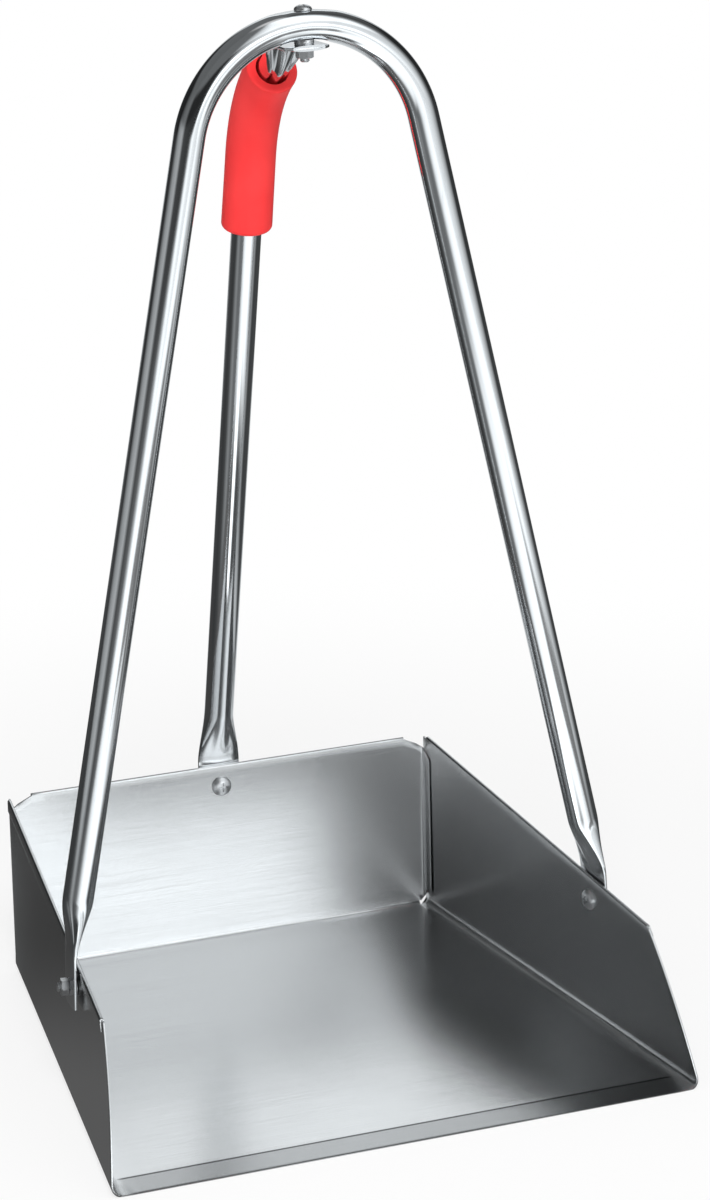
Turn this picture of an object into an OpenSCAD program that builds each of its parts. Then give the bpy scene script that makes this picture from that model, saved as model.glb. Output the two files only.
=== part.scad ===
// Lobby dustpan: a folded steel pan carried by a bolted, three-legged tube handle.
// Millimetres. +X is to the right seen from the lip, +Y runs from the lip to the back wall, +Z is up.
// The origin is the middle of the floor's underside.

/* [Pan] */
// Outside width of the pan at the front lip
pan_front_w = 320; // [280:1:360]
// Outside width of the pan at the back wall
pan_back_w = 250; // [210:1:270]
// Depth of the floor from the lip to the back wall
pan_depth = 273; // [230:1:320]
// Thickness of the folded sheet
sheet_t = 1; // [0.8:0.1:1.5]
// Inside radius of the folds between the floor and the side walls
side_fold_r = 6; // [3:0.5:9]
// Inside radius of the fold between the floor and the back wall
back_fold_r = 3; // [2:0.5:6]
// Lean of the side walls towards the middle, in degrees
side_lean = 1.7; // [0:0.1:4]
// Lean of the back wall away from the lip, in degrees
back_lean = 3.3; // [0:0.1:6]
// Height of the walls at the back
back_h = 102; // [92:1:115]
// Height of the side walls at their front corner
side_front_h = 77; // [66:1:88]
// Distance from the lip to that front corner
side_setback = 42; // [25:1:60]
// Radius of the curved front edge of the side walls
side_front_r = 300; // [150:10:600]
// Width of the hem folded outwards along the top edges
hem_w = 5.5; // [4:0.5:8]
// Length of the flanges that tie the back wall to the side walls
flange_l = 8; // [5:0.5:15]
// Size of the chamfers on the back wall's top corners
back_chamfer = 6; // [3:0.5:10]
// Depth of the thinned strip along the lip
lip_w = 19; // [12:0.5:30]
// Thickness left at the lip's front edge
lip_t = 0.4; // [0.3:0.1:0.7]

/* [Handle tubes] */
// Outside diameter of the tubes
tube_d = 16; // [14:0.5:19]
// Wall of the tubes
tube_wall = 1.5; // [1.2:0.1:2.5]
// Rise of the arch above the hoop's feet, along the hoop's own plane
hoop_rise = 460; // [400:5:540]
// Radius of the arch at the middle of the tube
arch_r = 64; // [50:1:80]
// Lean of the hoop towards the back wall, in degrees
hoop_lean = 5.5; // [3:0.5:7]
// Depth of the flat seats above and below the arch at its bolt
seat_deep = 0.8; // [0.4:0.1:1]
// Thinning of a wall on each face where it is bent
bend_thin = 0.1; // [0.05:0.01:0.15]
// Width of the flattened feet
foot_w = 24; // [18:0.5:28]
// Thickness of the flattened feet and tab
foot_t = 3; // [2.4:0.1:4]
// Length of a foot below its screw
foot_down = 9; // [7:0.5:14]
// Length of flat foot left above the wall's top edge
foot_margin = 4; // [2:0.5:8]
// Length over which a round tube turns into a flat foot
foot_blend = 30; // [20:1:40]
// Distance of the rear tube's middle outside the middle of its foot
rear_step = 3; // [0:0.5:5]
// Radius of the rear tube's bend at the middle of the tube
rear_bend_r = 82; // [60:1:100]
// Slope of the rear tube's neck behind its tab, in degrees
neck_slope = 36; // [25:1:50]
// Length of the neck
neck_l = 31; // [24:1:40]
// Width of the tab under the arch
tab_w = 24; // [18:0.5:28]
// Length of the tab in front of the bolt
tab_front = 7; // [5:0.5:12]
// Length of the tab behind the bolt
tab_back = 19; // [14:0.5:26]

/* [Grip] */
// Outside diameter of the grip sleeve
grip_d = 26.8; // [23:0.2:32]
// Length of the sleeve on the straight part of the tube
grip_straight = 41; // [30:1:80]
// Radius of the rounded rim of the sleeve
grip_round = 2.5; // [1:0.5:3]
// Gap between the sleeve and the tube
grip_play = 0.2; // [0.1:0.05:0.3]

/* [Fasteners] */
// Diameter of the screws and the bolt
screw_d = 5; // [4:0.5:6]
// Diameter of the domed screw heads
head_d = 11.4; // [9:0.2:13]
// Height of the domed screw heads
head_h = 3; // [2:0.1:3.5]
// Diameter of the top bolt's head
bolt_head_d = 9.2; // [8:0.2:12]
// Height of the top bolt's head
bolt_head_h = 2.8; // [2:0.1:3.5]
// Width of the hex nuts across their flats
nut_af = 8; // [7.5:0.5:10]
// Thickness of the hex nuts
nut_t = 4; // [3:0.2:5]
// Diameter of the spacing washers
washer_d = 10; // [9:0.5:14]
// Length of screw that stands out of its nut
screw_tail = 2; // [1:0.5:4]
// Width of the cross recess in the heads
recess_w = 1.1; // [0.8:0.1:1.4]
// Length of the cross recess
recess_l = 5; // [4:0.2:6]
// Depth of the cross recess
recess_deep = 1.5; // [1:0.1:1.8]
// Radial play of a screw in its holes
hole_play = 0.25; // [0.15:0.05:0.5]
// Radial play of a nut on its thread
thread_play = 0.05; // [0.02:0.01:0.1]
// Distance of the side screws behind the lip, along the side wall
side_screw_y = 102; // [80:1:140]
// Height of the side screws, along the side wall
side_screw_h = 69.5; // [60:0.5:72]
// Height of the rear screw, along the back wall
rear_screw_h = 90; // [78:0.5:92]

/* [Hidden] */
$fn = 96;

// Gap that keeps neighbours apart, lap of a straight into its bend, start of a blend inside a face,
// and overrun of a cut
fit_gap = 0.2;
lap = 0.5;
inset = 0.1;
cut = 1;
hull_fn = 32;

steel_sheet = [0.78, 0.79, 0.8];
steel_tube = [0.7, 0.72, 0.75];
steel_bolt = [0.82, 0.83, 0.84];
vinyl_red = [0.9, 0.2, 0.2];

lip_y = -pan_depth / 2;
back_y = pan_depth / 2;
back_top_y = back_y + back_h * tan(back_lean);
corner_y = lip_y + side_setback;
taper = atan2((pan_front_w - pan_back_w) / 2, pan_depth);
side_len = pan_depth / cos(taper);
// Width of a fold and its corner relief
side_fold = side_fold_r + sheet_t;
back_fold = back_fold_r + sheet_t;
side_relief = side_fold + fit_gap;
back_relief = back_fold + fit_gap;
// Depths from the outer face of a wall at which a hem, the back wall, a side wall and a flange end in it
hem_in = 0.5 * sheet_t;
wall_in = 0.6 * sheet_t;
side_in_back = 0.2 * sheet_t;
flange_in = 0.35 * sheet_t;
// Flat floor's distance from the foot of each wall
side_in = side_fold * (1 + sin(side_lean)) / cos(side_lean) / cos(taper);
back_in = back_fold * (1 - sin(back_lean)) / cos(back_lean);
// The side walls' front edge bows outwards from the lip to the corner, about this point in side view
front_chord = norm([side_setback, side_front_h]);
front_reach = sqrt(side_front_r * side_front_r - front_chord * front_chord / 4) / front_chord;
bow_mid = [lip_y + side_setback / 2 + front_reach * side_front_h, side_front_h / 2 - front_reach * side_setback];
front_steps = 12;
// Half the width between the flanges' inner faces at the top of the back wall
back_half = pan_back_w / 2 - back_h * tan(side_lean) - 2 * sheet_t;
// Sizes that reach past the whole pan
far = 2 * (pan_front_w + pan_depth);
tall = 2 * back_h;

tube_r = tube_d / 2;
bore_r = tube_r - tube_wall;
grip_in = tube_r + grip_play;
grip_out = grip_d / 2;
screw_r = screw_d / 2;
hole_r = screw_r + hole_play;
washer_t = sheet_t + fit_gap;
foot_face = washer_t + foot_t;
foot_mid = washer_t + foot_t / 2;
blend_r = tube_r - tube_wall / 3;

// Point p turned by an angle about X, Y or Z
function turn_x(a, p) = [p.x, p.y * cos(a) - p.z * sin(a), p.y * sin(a) + p.z * cos(a)];
function turn_y(a, p) = [p.x * cos(a) + p.z * sin(a), p.y, -p.x * sin(a) + p.z * cos(a)];
function turn_z(a, p) = [p.x * cos(a) - p.y * sin(a), p.x * sin(a) + p.y * cos(a), p.z];

// Height of the side walls' top edge at a distance y
function side_top(y) =
    side_front_h + (back_h - side_front_h) * (y - corner_y) / (back_top_y - corner_y);

// Point of the right side wall's frame: x out of the wall, y along it, z up it from the screw
function at_side_screw(p) =
    turn_z(taper, turn_y(-side_lean, p + [0, side_screw_y, side_screw_h]))
    + [pan_front_w / 2, lip_y, 0];
// Point of the back wall's frame: x out of the wall, z up it from the screw
function at_rear_screw(p) =
    turn_z(90, turn_y(back_lean, p + [0, 0, rear_screw_h])) + [0, back_y, 0];

// Hoop: the feet end above the side walls, and the legs run from there to the arch
hoop_foot_up =
    side_top(lip_y + (side_screw_y + foot_w / 2) * cos(taper)) / cos(side_lean)
    - side_screw_h + foot_margin;
hoop_start = at_side_screw([foot_mid, 0, 0] + turn_x(-hoop_lean, [0, 0, hoop_foot_up]));
arch_z = hoop_rise - arch_r;
leg_reach = norm([hoop_start.x, arch_z]);
leg_angle = atan2(hoop_start.x, arch_z) - asin(arch_r / leg_reach);
leg_l = sqrt(leg_reach * leg_reach - arch_r * arch_r);

// Seats on the arch, and the drop of its inner side beside the tab, which the top washer makes up
seat_h = tube_r - seat_deep;
seat_r = max(washer_d, bolt_head_d) / 2 + hole_play;
arch_in = arch_r - tube_r;
arch_drop = arch_in - sqrt(arch_in * arch_in - tab_w * tab_w / 4);
top_washer_t = seat_deep + arch_drop + fit_gap;
tab_top = -seat_h - top_washer_t;
tab_mid = tab_top - foot_t / 2;

// Rear tube, in the plane X = 0 as [y, z]: foot, straight, bend, neck and tab
function at_apex(p) =
    turn_x(-hoop_lean, p + [0, 0, hoop_rise]) + [0, hoop_start.y, hoop_start.z];
rear_foot_up = back_h / cos(back_lean) - rear_screw_h + foot_margin;
rear_start = at_rear_screw([foot_mid + rear_step, 0, rear_foot_up]);
neck_end = at_apex([0, tab_back, tab_mid]);
neck_dir = [0, -cos(neck_slope), sin(neck_slope)];
neck_start = neck_end - neck_l * neck_dir;
bend_mid = neck_start - rear_bend_r * [0, sin(neck_slope), cos(neck_slope)];
bend_away = [rear_start.y - bend_mid.y, bend_mid.z - rear_start.z];
bend_reach = norm(bend_away);
rear_angle = atan2(bend_away.x, bend_away.y) - asin(rear_bend_r / bend_reach);
rear_l = sqrt(bend_reach * bend_reach - rear_bend_r * rear_bend_r);
bend_turn = 90 - rear_angle - neck_slope;

// Places

// X out of the side wall and Z up it, so Y runs to the back on the right and to the lip on the left
module on_side_screw(side) {
    translate([side * pan_front_w / 2, lip_y, 0])
        rotate([0, 0, side * taper])
        rotate([0, -side * side_lean, 0])
        translate([0, side_screw_y, side_screw_h])
        rotate([0, 0, side < 0 ? 180 : 0])
        children();
}

module on_rear_screw() {
    in_back_wall() translate([0, 0, rear_screw_h]) children();
}

module in_hoop_plane() {
    translate([0, hoop_start.y, hoop_start.z])
        rotate([-hoop_lean, 0, 0])
        children();
}

module on_apex() {
    in_hoop_plane() translate([0, 0, hoop_rise]) children();
}

// Turns a shape that stands along Z so that it lies along X
module along_x() {
    rotate([0, 90, 0]) children();
}

// Extrudes a [y, z] outline along X, across the whole pan
module across_pan() {
    rotate([90, 0, 90])
        linear_extrude(far, center = true)
        children();
}

// Pan

// Floor flap, fold and wall in section, x out of the wall
module fold_section(lean, fold_r) {
    fold = fold_r + sheet_t;
    middle = [-fold * (1 + sin(lean)) / cos(lean), fold];
    out = [cos(lean), sin(lean)];
    up = [-sin(lean), cos(lean)];
    inner = middle + fold_r * out;
    outer = middle + fold * out;
    translate([middle.x - fold, 0]) square([fold + lap, sheet_t]);
    polygon([inner - lap * up, outer - lap * up, outer + tall * up, inner + tall * up]);
    intersection() {
        translate(middle) difference() {
            circle(fold - bend_thin);
            circle(fold_r + bend_thin);
        }
        polygon([middle, [middle.x, -fold], [2 * fold, -fold], middle + 4 * fold * out]);
    }
}

// Frames of the right side wall and of the back wall: x out of the wall, z up it

module in_side_wall() {
    translate([pan_front_w / 2, lip_y, 0])
        rotate([0, 0, taper])
        rotate([0, -side_lean, 0])
        children();
}

module in_back_wall() {
    translate([0, back_y, 0])
        rotate([0, 0, 90])
        rotate([0, back_lean, 0])
        children();
}

// Everything on the inner side of a plane that stands at x = face in a wall's frame
module inside_of(face) {
    translate([face - far, -far, -far]) cube([far, 2 * far, 2 * far]);
}

// Right side: wall, fold and hem, with the fold stopping short of the corner
module side_sheet() {
    difference() {
        intersection() {
            union() {
                translate([pan_front_w / 2, lip_y, 0])
                    rotate([0, 0, taper])
                    rotate([90, 0, 0])
                    linear_extrude(4 * side_len, center = true)
                    fold_section(side_lean, side_fold_r);
                side_hem();
            }
            in_back_wall() inside_of(-side_in_back);
        }
        translate([0, back_y - back_relief, -cut]) cube([far, far, side_relief + cut]);
    }
}

// Hem folded outwards along the sloped top edge of the right side wall
module side_hem() {
    intersection() {
        in_side_wall() translate([-hem_in, 0, 0]) cube([hem_in + sheet_t, 2 * side_len, tall]);
        across_pan() polygon([[corner_y, side_front_h - hem_w], [back_top_y + cut, side_top(back_top_y + cut) - hem_w],
                              [back_top_y + cut, tall], [corner_y, tall]]);
    }
}

// Back: wall and fold between the side walls, with the fold stopping short of the corners
module back_sheet() {
    half = pan_back_w / 2 - side_relief;
    difference() {
        intersection() {
            translate([0, back_y, 0])
                rotate([0, 0, 90])
                rotate([90, 0, 0])
                linear_extrude(2 * pan_back_w, center = true)
                fold_section(-back_lean, back_fold_r);
            for_both_walls() inside_of(-wall_in);
        }
        for (side = [0, 1])
            mirror([side, 0, 0])
            translate([half, 0, -cut])
            cube([far, far, back_relief + cut]);
    }
}

// Hem folded outwards along the top edge of the back wall
module back_hem() {
    half = back_half - back_chamfer;
    in_back_wall()
        translate([-hem_in, -half, back_h / cos(back_lean) - hem_w])
        cube([hem_in + sheet_t, 2 * half, tall]);
}

// Flange of the back wall that lies inside the right side wall
module corner_flange() {
    intersection() {
        in_side_wall()
            translate([-2 * sheet_t, side_len - flange_l, 2 * side_fold])
            cube([2 * sheet_t - flange_in, 2 * flange_l, back_h - back_chamfer - 3 * side_fold]);
        in_back_wall() inside_of(-flange_in);
    }
}

// Space between the two side walls' planes
module for_both_walls() {
    intersection() {
        in_side_wall() children();
        mirror([1, 0, 0]) in_side_wall() children();
    }
}

// Flat floor between the folds, running on past the lip
module floor_sheet() {
    front = pan_front_w / 2 - side_in + cut * tan(taper);
    back = pan_front_w / 2 - side_in - (pan_depth - back_in) * tan(taper);
    linear_extrude(sheet_t)
        polygon([[-front, lip_y - cut], [front, lip_y - cut], [back, back_y - back_in], [-back, back_y - back_in]]);
}

// Point of the side walls' bowed front edge, at a height z
function front_edge(z) =
    [bow_mid.x - sqrt(side_front_r * side_front_r - (z - bow_mid.y) * (z - bow_mid.y)), z];

// Outline of the pan from the side
module side_view() {
    rise = side_front_h / front_steps;
    polygon(concat([for (i = [0:front_steps]) front_edge(side_front_h - i * rise)],
                   [front_edge(-cut), [back_top_y + far, -cut], [back_top_y + far, back_h], [back_top_y, back_h]]));
}

// Wedge that thins the floor towards the lip, over its flat width
module lip_cut() {
    half = pan_front_w / 2 - lip_w * tan(taper) - side_in;
    slope = (sheet_t - lip_t) / lip_w;
    rotate([90, 0, 90])
        linear_extrude(2 * half, center = true)
        polygon([[lip_y - cut, lip_t - slope * cut], [lip_y + lip_w, sheet_t], [lip_y - cut, sheet_t]]);
}

module back_corner_cut() {
    rotate([90, 0, 0])
        translate([back_half, back_h, -back_top_y - back_chamfer])
        linear_extrude(2 * back_chamfer + back_top_y - back_y)
        polygon([[-back_chamfer, 0], [0, -back_chamfer], [0, cut], [-back_chamfer, cut]]);
}

module screw_hole() {
    along_x() cylinder(r = hole_r, h = 4 * foot_face, center = true);
}

module pan() {
    color(steel_sheet)
    difference() {
        intersection() {
            union() {
                floor_sheet();
                back_sheet();
                back_hem();
                for (side = [0, 1]) mirror([side, 0, 0]) {
                    side_sheet();
                    corner_flange();
                }
            }
            across_pan() side_view();
        }
        lip_cut();
        for (side = [0, 1]) mirror([side, 0, 0]) back_corner_cut();
        for (side = [-1, 1]) on_side_screw(side) screw_hole();
        on_rear_screw() screw_hole();
    }
}

// Handle tubes

// Straight tube that laps a little into the bend at its end
module tube(length) {
    linear_extrude(length + lap) ring_section(0);
}

// Tube in section, with its wall thinned on both sides
module ring_section(thin) {
    difference() {
        circle(tube_r - thin);
        circle(bore_r + thin);
    }
}

// Arch of the hoop, with a flat seat above for the bolt's head and one below for its washer
module arch() {
    difference() {
        translate([0, 0, arch_z])
            rotate([90, 0, 0])
            rotate([0, 0, leg_angle])
            rotate_extrude(angle = 180 - 2 * leg_angle)
            translate([arch_r, 0])
            ring_section(bend_thin);
        translate([0, 0, hoop_rise]) {
            cylinder(r = hole_r, h = 2 * tube_d, center = true);
            for (turn = [0, 180])
                rotate([turn, 0, 0])
                translate([0, 0, seat_h])
                cylinder(r = seat_r, h = tube_r);
        }
    }
}

// Flat foot with a square end, in the frame of its screw
module foot_plate(rise) {
    difference() {
        translate([washer_t, -foot_w / 2, -foot_down]) cube([foot_t, foot_w, foot_down + rise]);
        screw_hole();
    }
}

// Start of a blend, a little inside the faces of the plate it grows from
module foot_edge(rise) {
    translate([washer_t + inset, inset - foot_w / 2, rise - cut])
        cube([foot_t - 2 * inset, foot_w - 2 * inset, cut]);
}

module tube_end() {
    cylinder(r = blend_r, h = cut, $fn = hull_fn);
}

// Frame along one of the hoop's legs, from the end of its foot
module leg_axis(side) {
    in_hoop_plane()
        translate([side * hoop_start.x, 0, 0])
        rotate([0, -side * leg_angle, 0])
        children();
}

module hoop() {
    color(steel_tube)
    union() {
        in_hoop_plane() arch();
        for (side = [-1, 1]) {
            leg_axis(side) translate([0, 0, foot_blend]) tube(leg_l - foot_blend);
            on_side_screw(side) rotate([-side * hoop_lean, 0, 0]) foot_plate(hoop_foot_up);
            hull() {
                on_side_screw(side) rotate([-side * hoop_lean, 0, 0]) foot_edge(hoop_foot_up);
                leg_axis(side) translate([0, 0, foot_blend + lap]) tube_end();
            }
        }
    }
}

// Frame along the rear tube's straight part, from the end of its foot
module rear_axis() {
    translate(rear_start) rotate([rear_angle, 0, 0]) children();
}

// Frame of the bend: the middle of the bend, with X along the radius where the bend starts
module rear_bend() {
    translate(bend_mid)
        rotate([0, 0, 90])
        rotate([90, 0, 0])
        rotate([0, 0, rear_angle])
        children();
}

module tab() {
    bevel = tab_front / 2;
    half = tab_w / 2;
    on_apex() difference() {
        translate([0, 0, tab_top - foot_t])
            linear_extrude(foot_t)
            polygon([[-half, tab_back], [-half, bevel - tab_front], [bevel - half, -tab_front],
                     [half - bevel, -tab_front], [half, bevel - tab_front], [half, tab_back]]);
        translate([0, 0, tab_top]) cylinder(r = hole_r, h = 4 * foot_t, center = true);
    }
}

module rear_handle() {
    color(steel_tube)
    union() {
        on_rear_screw() foot_plate(rear_foot_up);
        hull() {
            on_rear_screw() foot_edge(rear_foot_up);
            rear_axis() translate([0, 0, foot_blend + lap]) tube_end();
        }
        rear_axis() translate([0, 0, foot_blend]) tube(rear_l - foot_blend);
        rear_bend() rotate_extrude(angle = bend_turn) translate([rear_bend_r, 0]) ring_section(bend_thin);
        hull() {
            translate(neck_start) rotate([90 - neck_slope, 0, 0]) translate([0, 0, -cut]) tube_end();
            on_apex()
                translate([inset - tab_w / 2, tab_back - cut, tab_top - foot_t + inset])
                cube([tab_w - 2 * inset, cut, foot_t - 2 * inset]);
        }
        tab();
    }
}

// Grip

// Half section of the straight sleeve, with its lower rim rounded
module grip_section() {
    translate([grip_in, grip_round]) square([grip_out - grip_in, grip_straight + lap - grip_round]);
    translate([grip_in, 0]) square([grip_out - grip_in - grip_round, grip_round]);
    translate([grip_out - grip_round, grip_round])
        intersection() {
            circle(grip_round);
            translate([0, -grip_round]) square(grip_round);
        }
}

module grip() {
    color(vinyl_red)
    union() {
        rear_axis() translate([0, 0, rear_l - grip_straight]) rotate_extrude() grip_section();
        rear_bend()
            rotate_extrude(angle = bend_turn)
            translate([rear_bend_r, 0])
            difference() {
                circle(grip_out - bend_thin);
                circle(grip_in + bend_thin);
            }
    }
}

// Fasteners

// Domed head under z = 0 and a shank above it, with a cross recess
module cross_screw(dome_d, dome_h, length) {
    dome_r = dome_d / 2;
    ball_r = (dome_r * dome_r + dome_h * dome_h) / (2 * dome_h);
    difference() {
        intersection() {
            translate([0, 0, ball_r - dome_h]) sphere(ball_r);
            translate([0, 0, -dome_h]) cylinder(r = dome_r, h = dome_h);
        }
        for (turn = [0, 90])
            rotate([0, 0, turn])
            translate([-recess_l / 2, -recess_w / 2, -dome_h - cut])
            cube([recess_l, recess_w, recess_deep + cut]);
    }
    cylinder(r = screw_r, h = length);
}

module washer(height) {
    difference() {
        cylinder(d = washer_d, h = height);
        translate([0, 0, -cut]) cylinder(r = hole_r, h = height + 2 * cut);
    }
}

module hex_nut() {
    difference() {
        cylinder(d = nut_af / cos(30), h = nut_t, $fn = 6);
        translate([0, 0, -cut]) cylinder(r = screw_r + thread_play, h = nut_t + 2 * cut);
    }
}

// Screw, washer and nut through a wall and a foot, in the frame of the screw
module wall_screw() {
    color(steel_bolt)
        translate([-sheet_t, 0, 0])
        along_x() cross_screw(head_d, head_h, sheet_t + foot_face + nut_t + screw_tail);
}

module wall_washer() {
    color(steel_bolt) along_x() washer(washer_t);
}

module wall_nut() {
    color(steel_bolt) translate([foot_face, 0, 0]) along_x() hex_nut();
}

module left_screw() { on_side_screw(-1) wall_screw(); }
module left_washer() { on_side_screw(-1) wall_washer(); }
module left_nut() { on_side_screw(-1) wall_nut(); }
module right_screw() { on_side_screw(1) wall_screw(); }
module right_washer() { on_side_screw(1) wall_washer(); }
module right_nut() { on_side_screw(1) wall_nut(); }
module rear_screw() { on_rear_screw() wall_screw(); }
module rear_washer() { on_rear_screw() wall_washer(); }
module rear_nut() { on_rear_screw() wall_nut(); }

// The top bolt hangs down through the arch, its washer and the tab
module top_bolt() {
    color(steel_bolt)
        on_apex()
        translate([0, 0, seat_h])
        rotate([180, 0, 0])
        cross_screw(bolt_head_d, bolt_head_h, seat_h - tab_top + foot_t + nut_t + screw_tail);
}

module top_washer() {
    color(steel_bolt) on_apex() translate([0, 0, tab_top]) washer(top_washer_t);
}

module top_nut() {
    color(steel_bolt) on_apex() translate([0, 0, tab_top - foot_t - nut_t]) hex_nut();
}

pan();
hoop();
rear_handle();
grip();
left_screw();
left_washer();
left_nut();
right_screw();
right_washer();
right_nut();
rear_screw();
rear_washer();
rear_nut();
top_bolt();
top_washer();
top_nut();
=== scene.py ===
"""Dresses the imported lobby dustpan: folded sheet pan, bent tube handle, grip sleeve, fasteners and studio.

Sizes are in millimetres, as on a maker's drawing, and become metres where a mesh is made.
"""

import logging
import math
from dataclasses import dataclass, field
from enum import Enum
from typing import Iterable, Optional, Sequence, Union

import bmesh
import bpy
import numpy as np
from mathutils import Matrix, Vector


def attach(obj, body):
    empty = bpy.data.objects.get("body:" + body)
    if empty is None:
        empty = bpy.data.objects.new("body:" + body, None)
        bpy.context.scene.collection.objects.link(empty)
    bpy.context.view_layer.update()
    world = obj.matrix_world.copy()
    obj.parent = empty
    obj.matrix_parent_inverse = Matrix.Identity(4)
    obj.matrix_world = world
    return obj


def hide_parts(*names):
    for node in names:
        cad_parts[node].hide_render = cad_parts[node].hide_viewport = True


MM = 0.001
WELD_GAP = 1e-6
LOG = logging.getLogger("lobby_dustpan")
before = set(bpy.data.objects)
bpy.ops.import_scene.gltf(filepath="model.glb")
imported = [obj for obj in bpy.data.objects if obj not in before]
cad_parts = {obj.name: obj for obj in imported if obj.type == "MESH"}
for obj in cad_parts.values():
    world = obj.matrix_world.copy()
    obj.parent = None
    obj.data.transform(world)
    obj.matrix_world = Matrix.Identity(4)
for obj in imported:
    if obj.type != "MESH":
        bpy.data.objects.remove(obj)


class Body(Enum):
    """Moving bodies that pieces ride on."""

    DUSTPAN = "dustpan"
    LEFT_NUT = "left_nut"
    RIGHT_NUT = "right_nut"
    REAR_NUT = "rear_nut"
    TOP_NUT = "top_nut"


class Slot(Enum):
    """Material slots of the record."""

    SHEET = "sheet"
    TUBE = "tube"
    FASTENERS = "fasteners"
    GRIP = "grip"


Value = Union["Sock", float, int, Sequence[float]]
Triple = tuple[float, float, float]
Pair = tuple[float, float]
Ramp = tuple[Pair, ...]


class Sock:
    """A socket of a node tree whose operators add Math nodes."""

    def __init__(self, graph: "Graph", socket: bpy.types.NodeSocket) -> None:
        """Holds the socket and the graph that new nodes go into."""
        self.graph = graph
        self.socket = socket

    def math(self, operation: str, *others: Value) -> "Sock":
        """Adds a Math node on this socket.

        Args:
            operation: Blender's name of the operation.
            others: The remaining operands.

        Returns:
            The result's socket.
        """
        return self.graph.node("ShaderNodeMath", {"operation": operation}, dict(enumerate((self, *others))))

    def swapped(self, operation: str, other: Value) -> "Sock":
        """Adds a Math node with this socket as its second operand."""
        return self.graph.node("ShaderNodeMath", {"operation": operation}, {0: other, 1: self})

    def __add__(self, other: Value) -> "Sock":
        """Sum."""
        return self.math("ADD", other)

    def __radd__(self, other: Value) -> "Sock":
        """Sum with a number on the left."""
        return self.swapped("ADD", other)

    def __sub__(self, other: Value) -> "Sock":
        """Difference."""
        return self.math("SUBTRACT", other)

    def __rsub__(self, other: Value) -> "Sock":
        """Difference with a number on the left."""
        return self.swapped("SUBTRACT", other)

    def __mul__(self, other: Value) -> "Sock":
        """Product."""
        return self.math("MULTIPLY", other)

    def __truediv__(self, other: Value) -> "Sock":
        """Quotient."""
        return self.math("DIVIDE", other)

    def ramp(self, low: float, high: float) -> "Sock":
        """Smooth step from 0 at low to 1 at high."""
        values = {"Value": self, 1: low, 2: high, 3: 0.0, 4: 1.0}
        return self.graph.node("ShaderNodeMapRange", {"interpolation_type": "SMOOTHSTEP"}, values)


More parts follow.
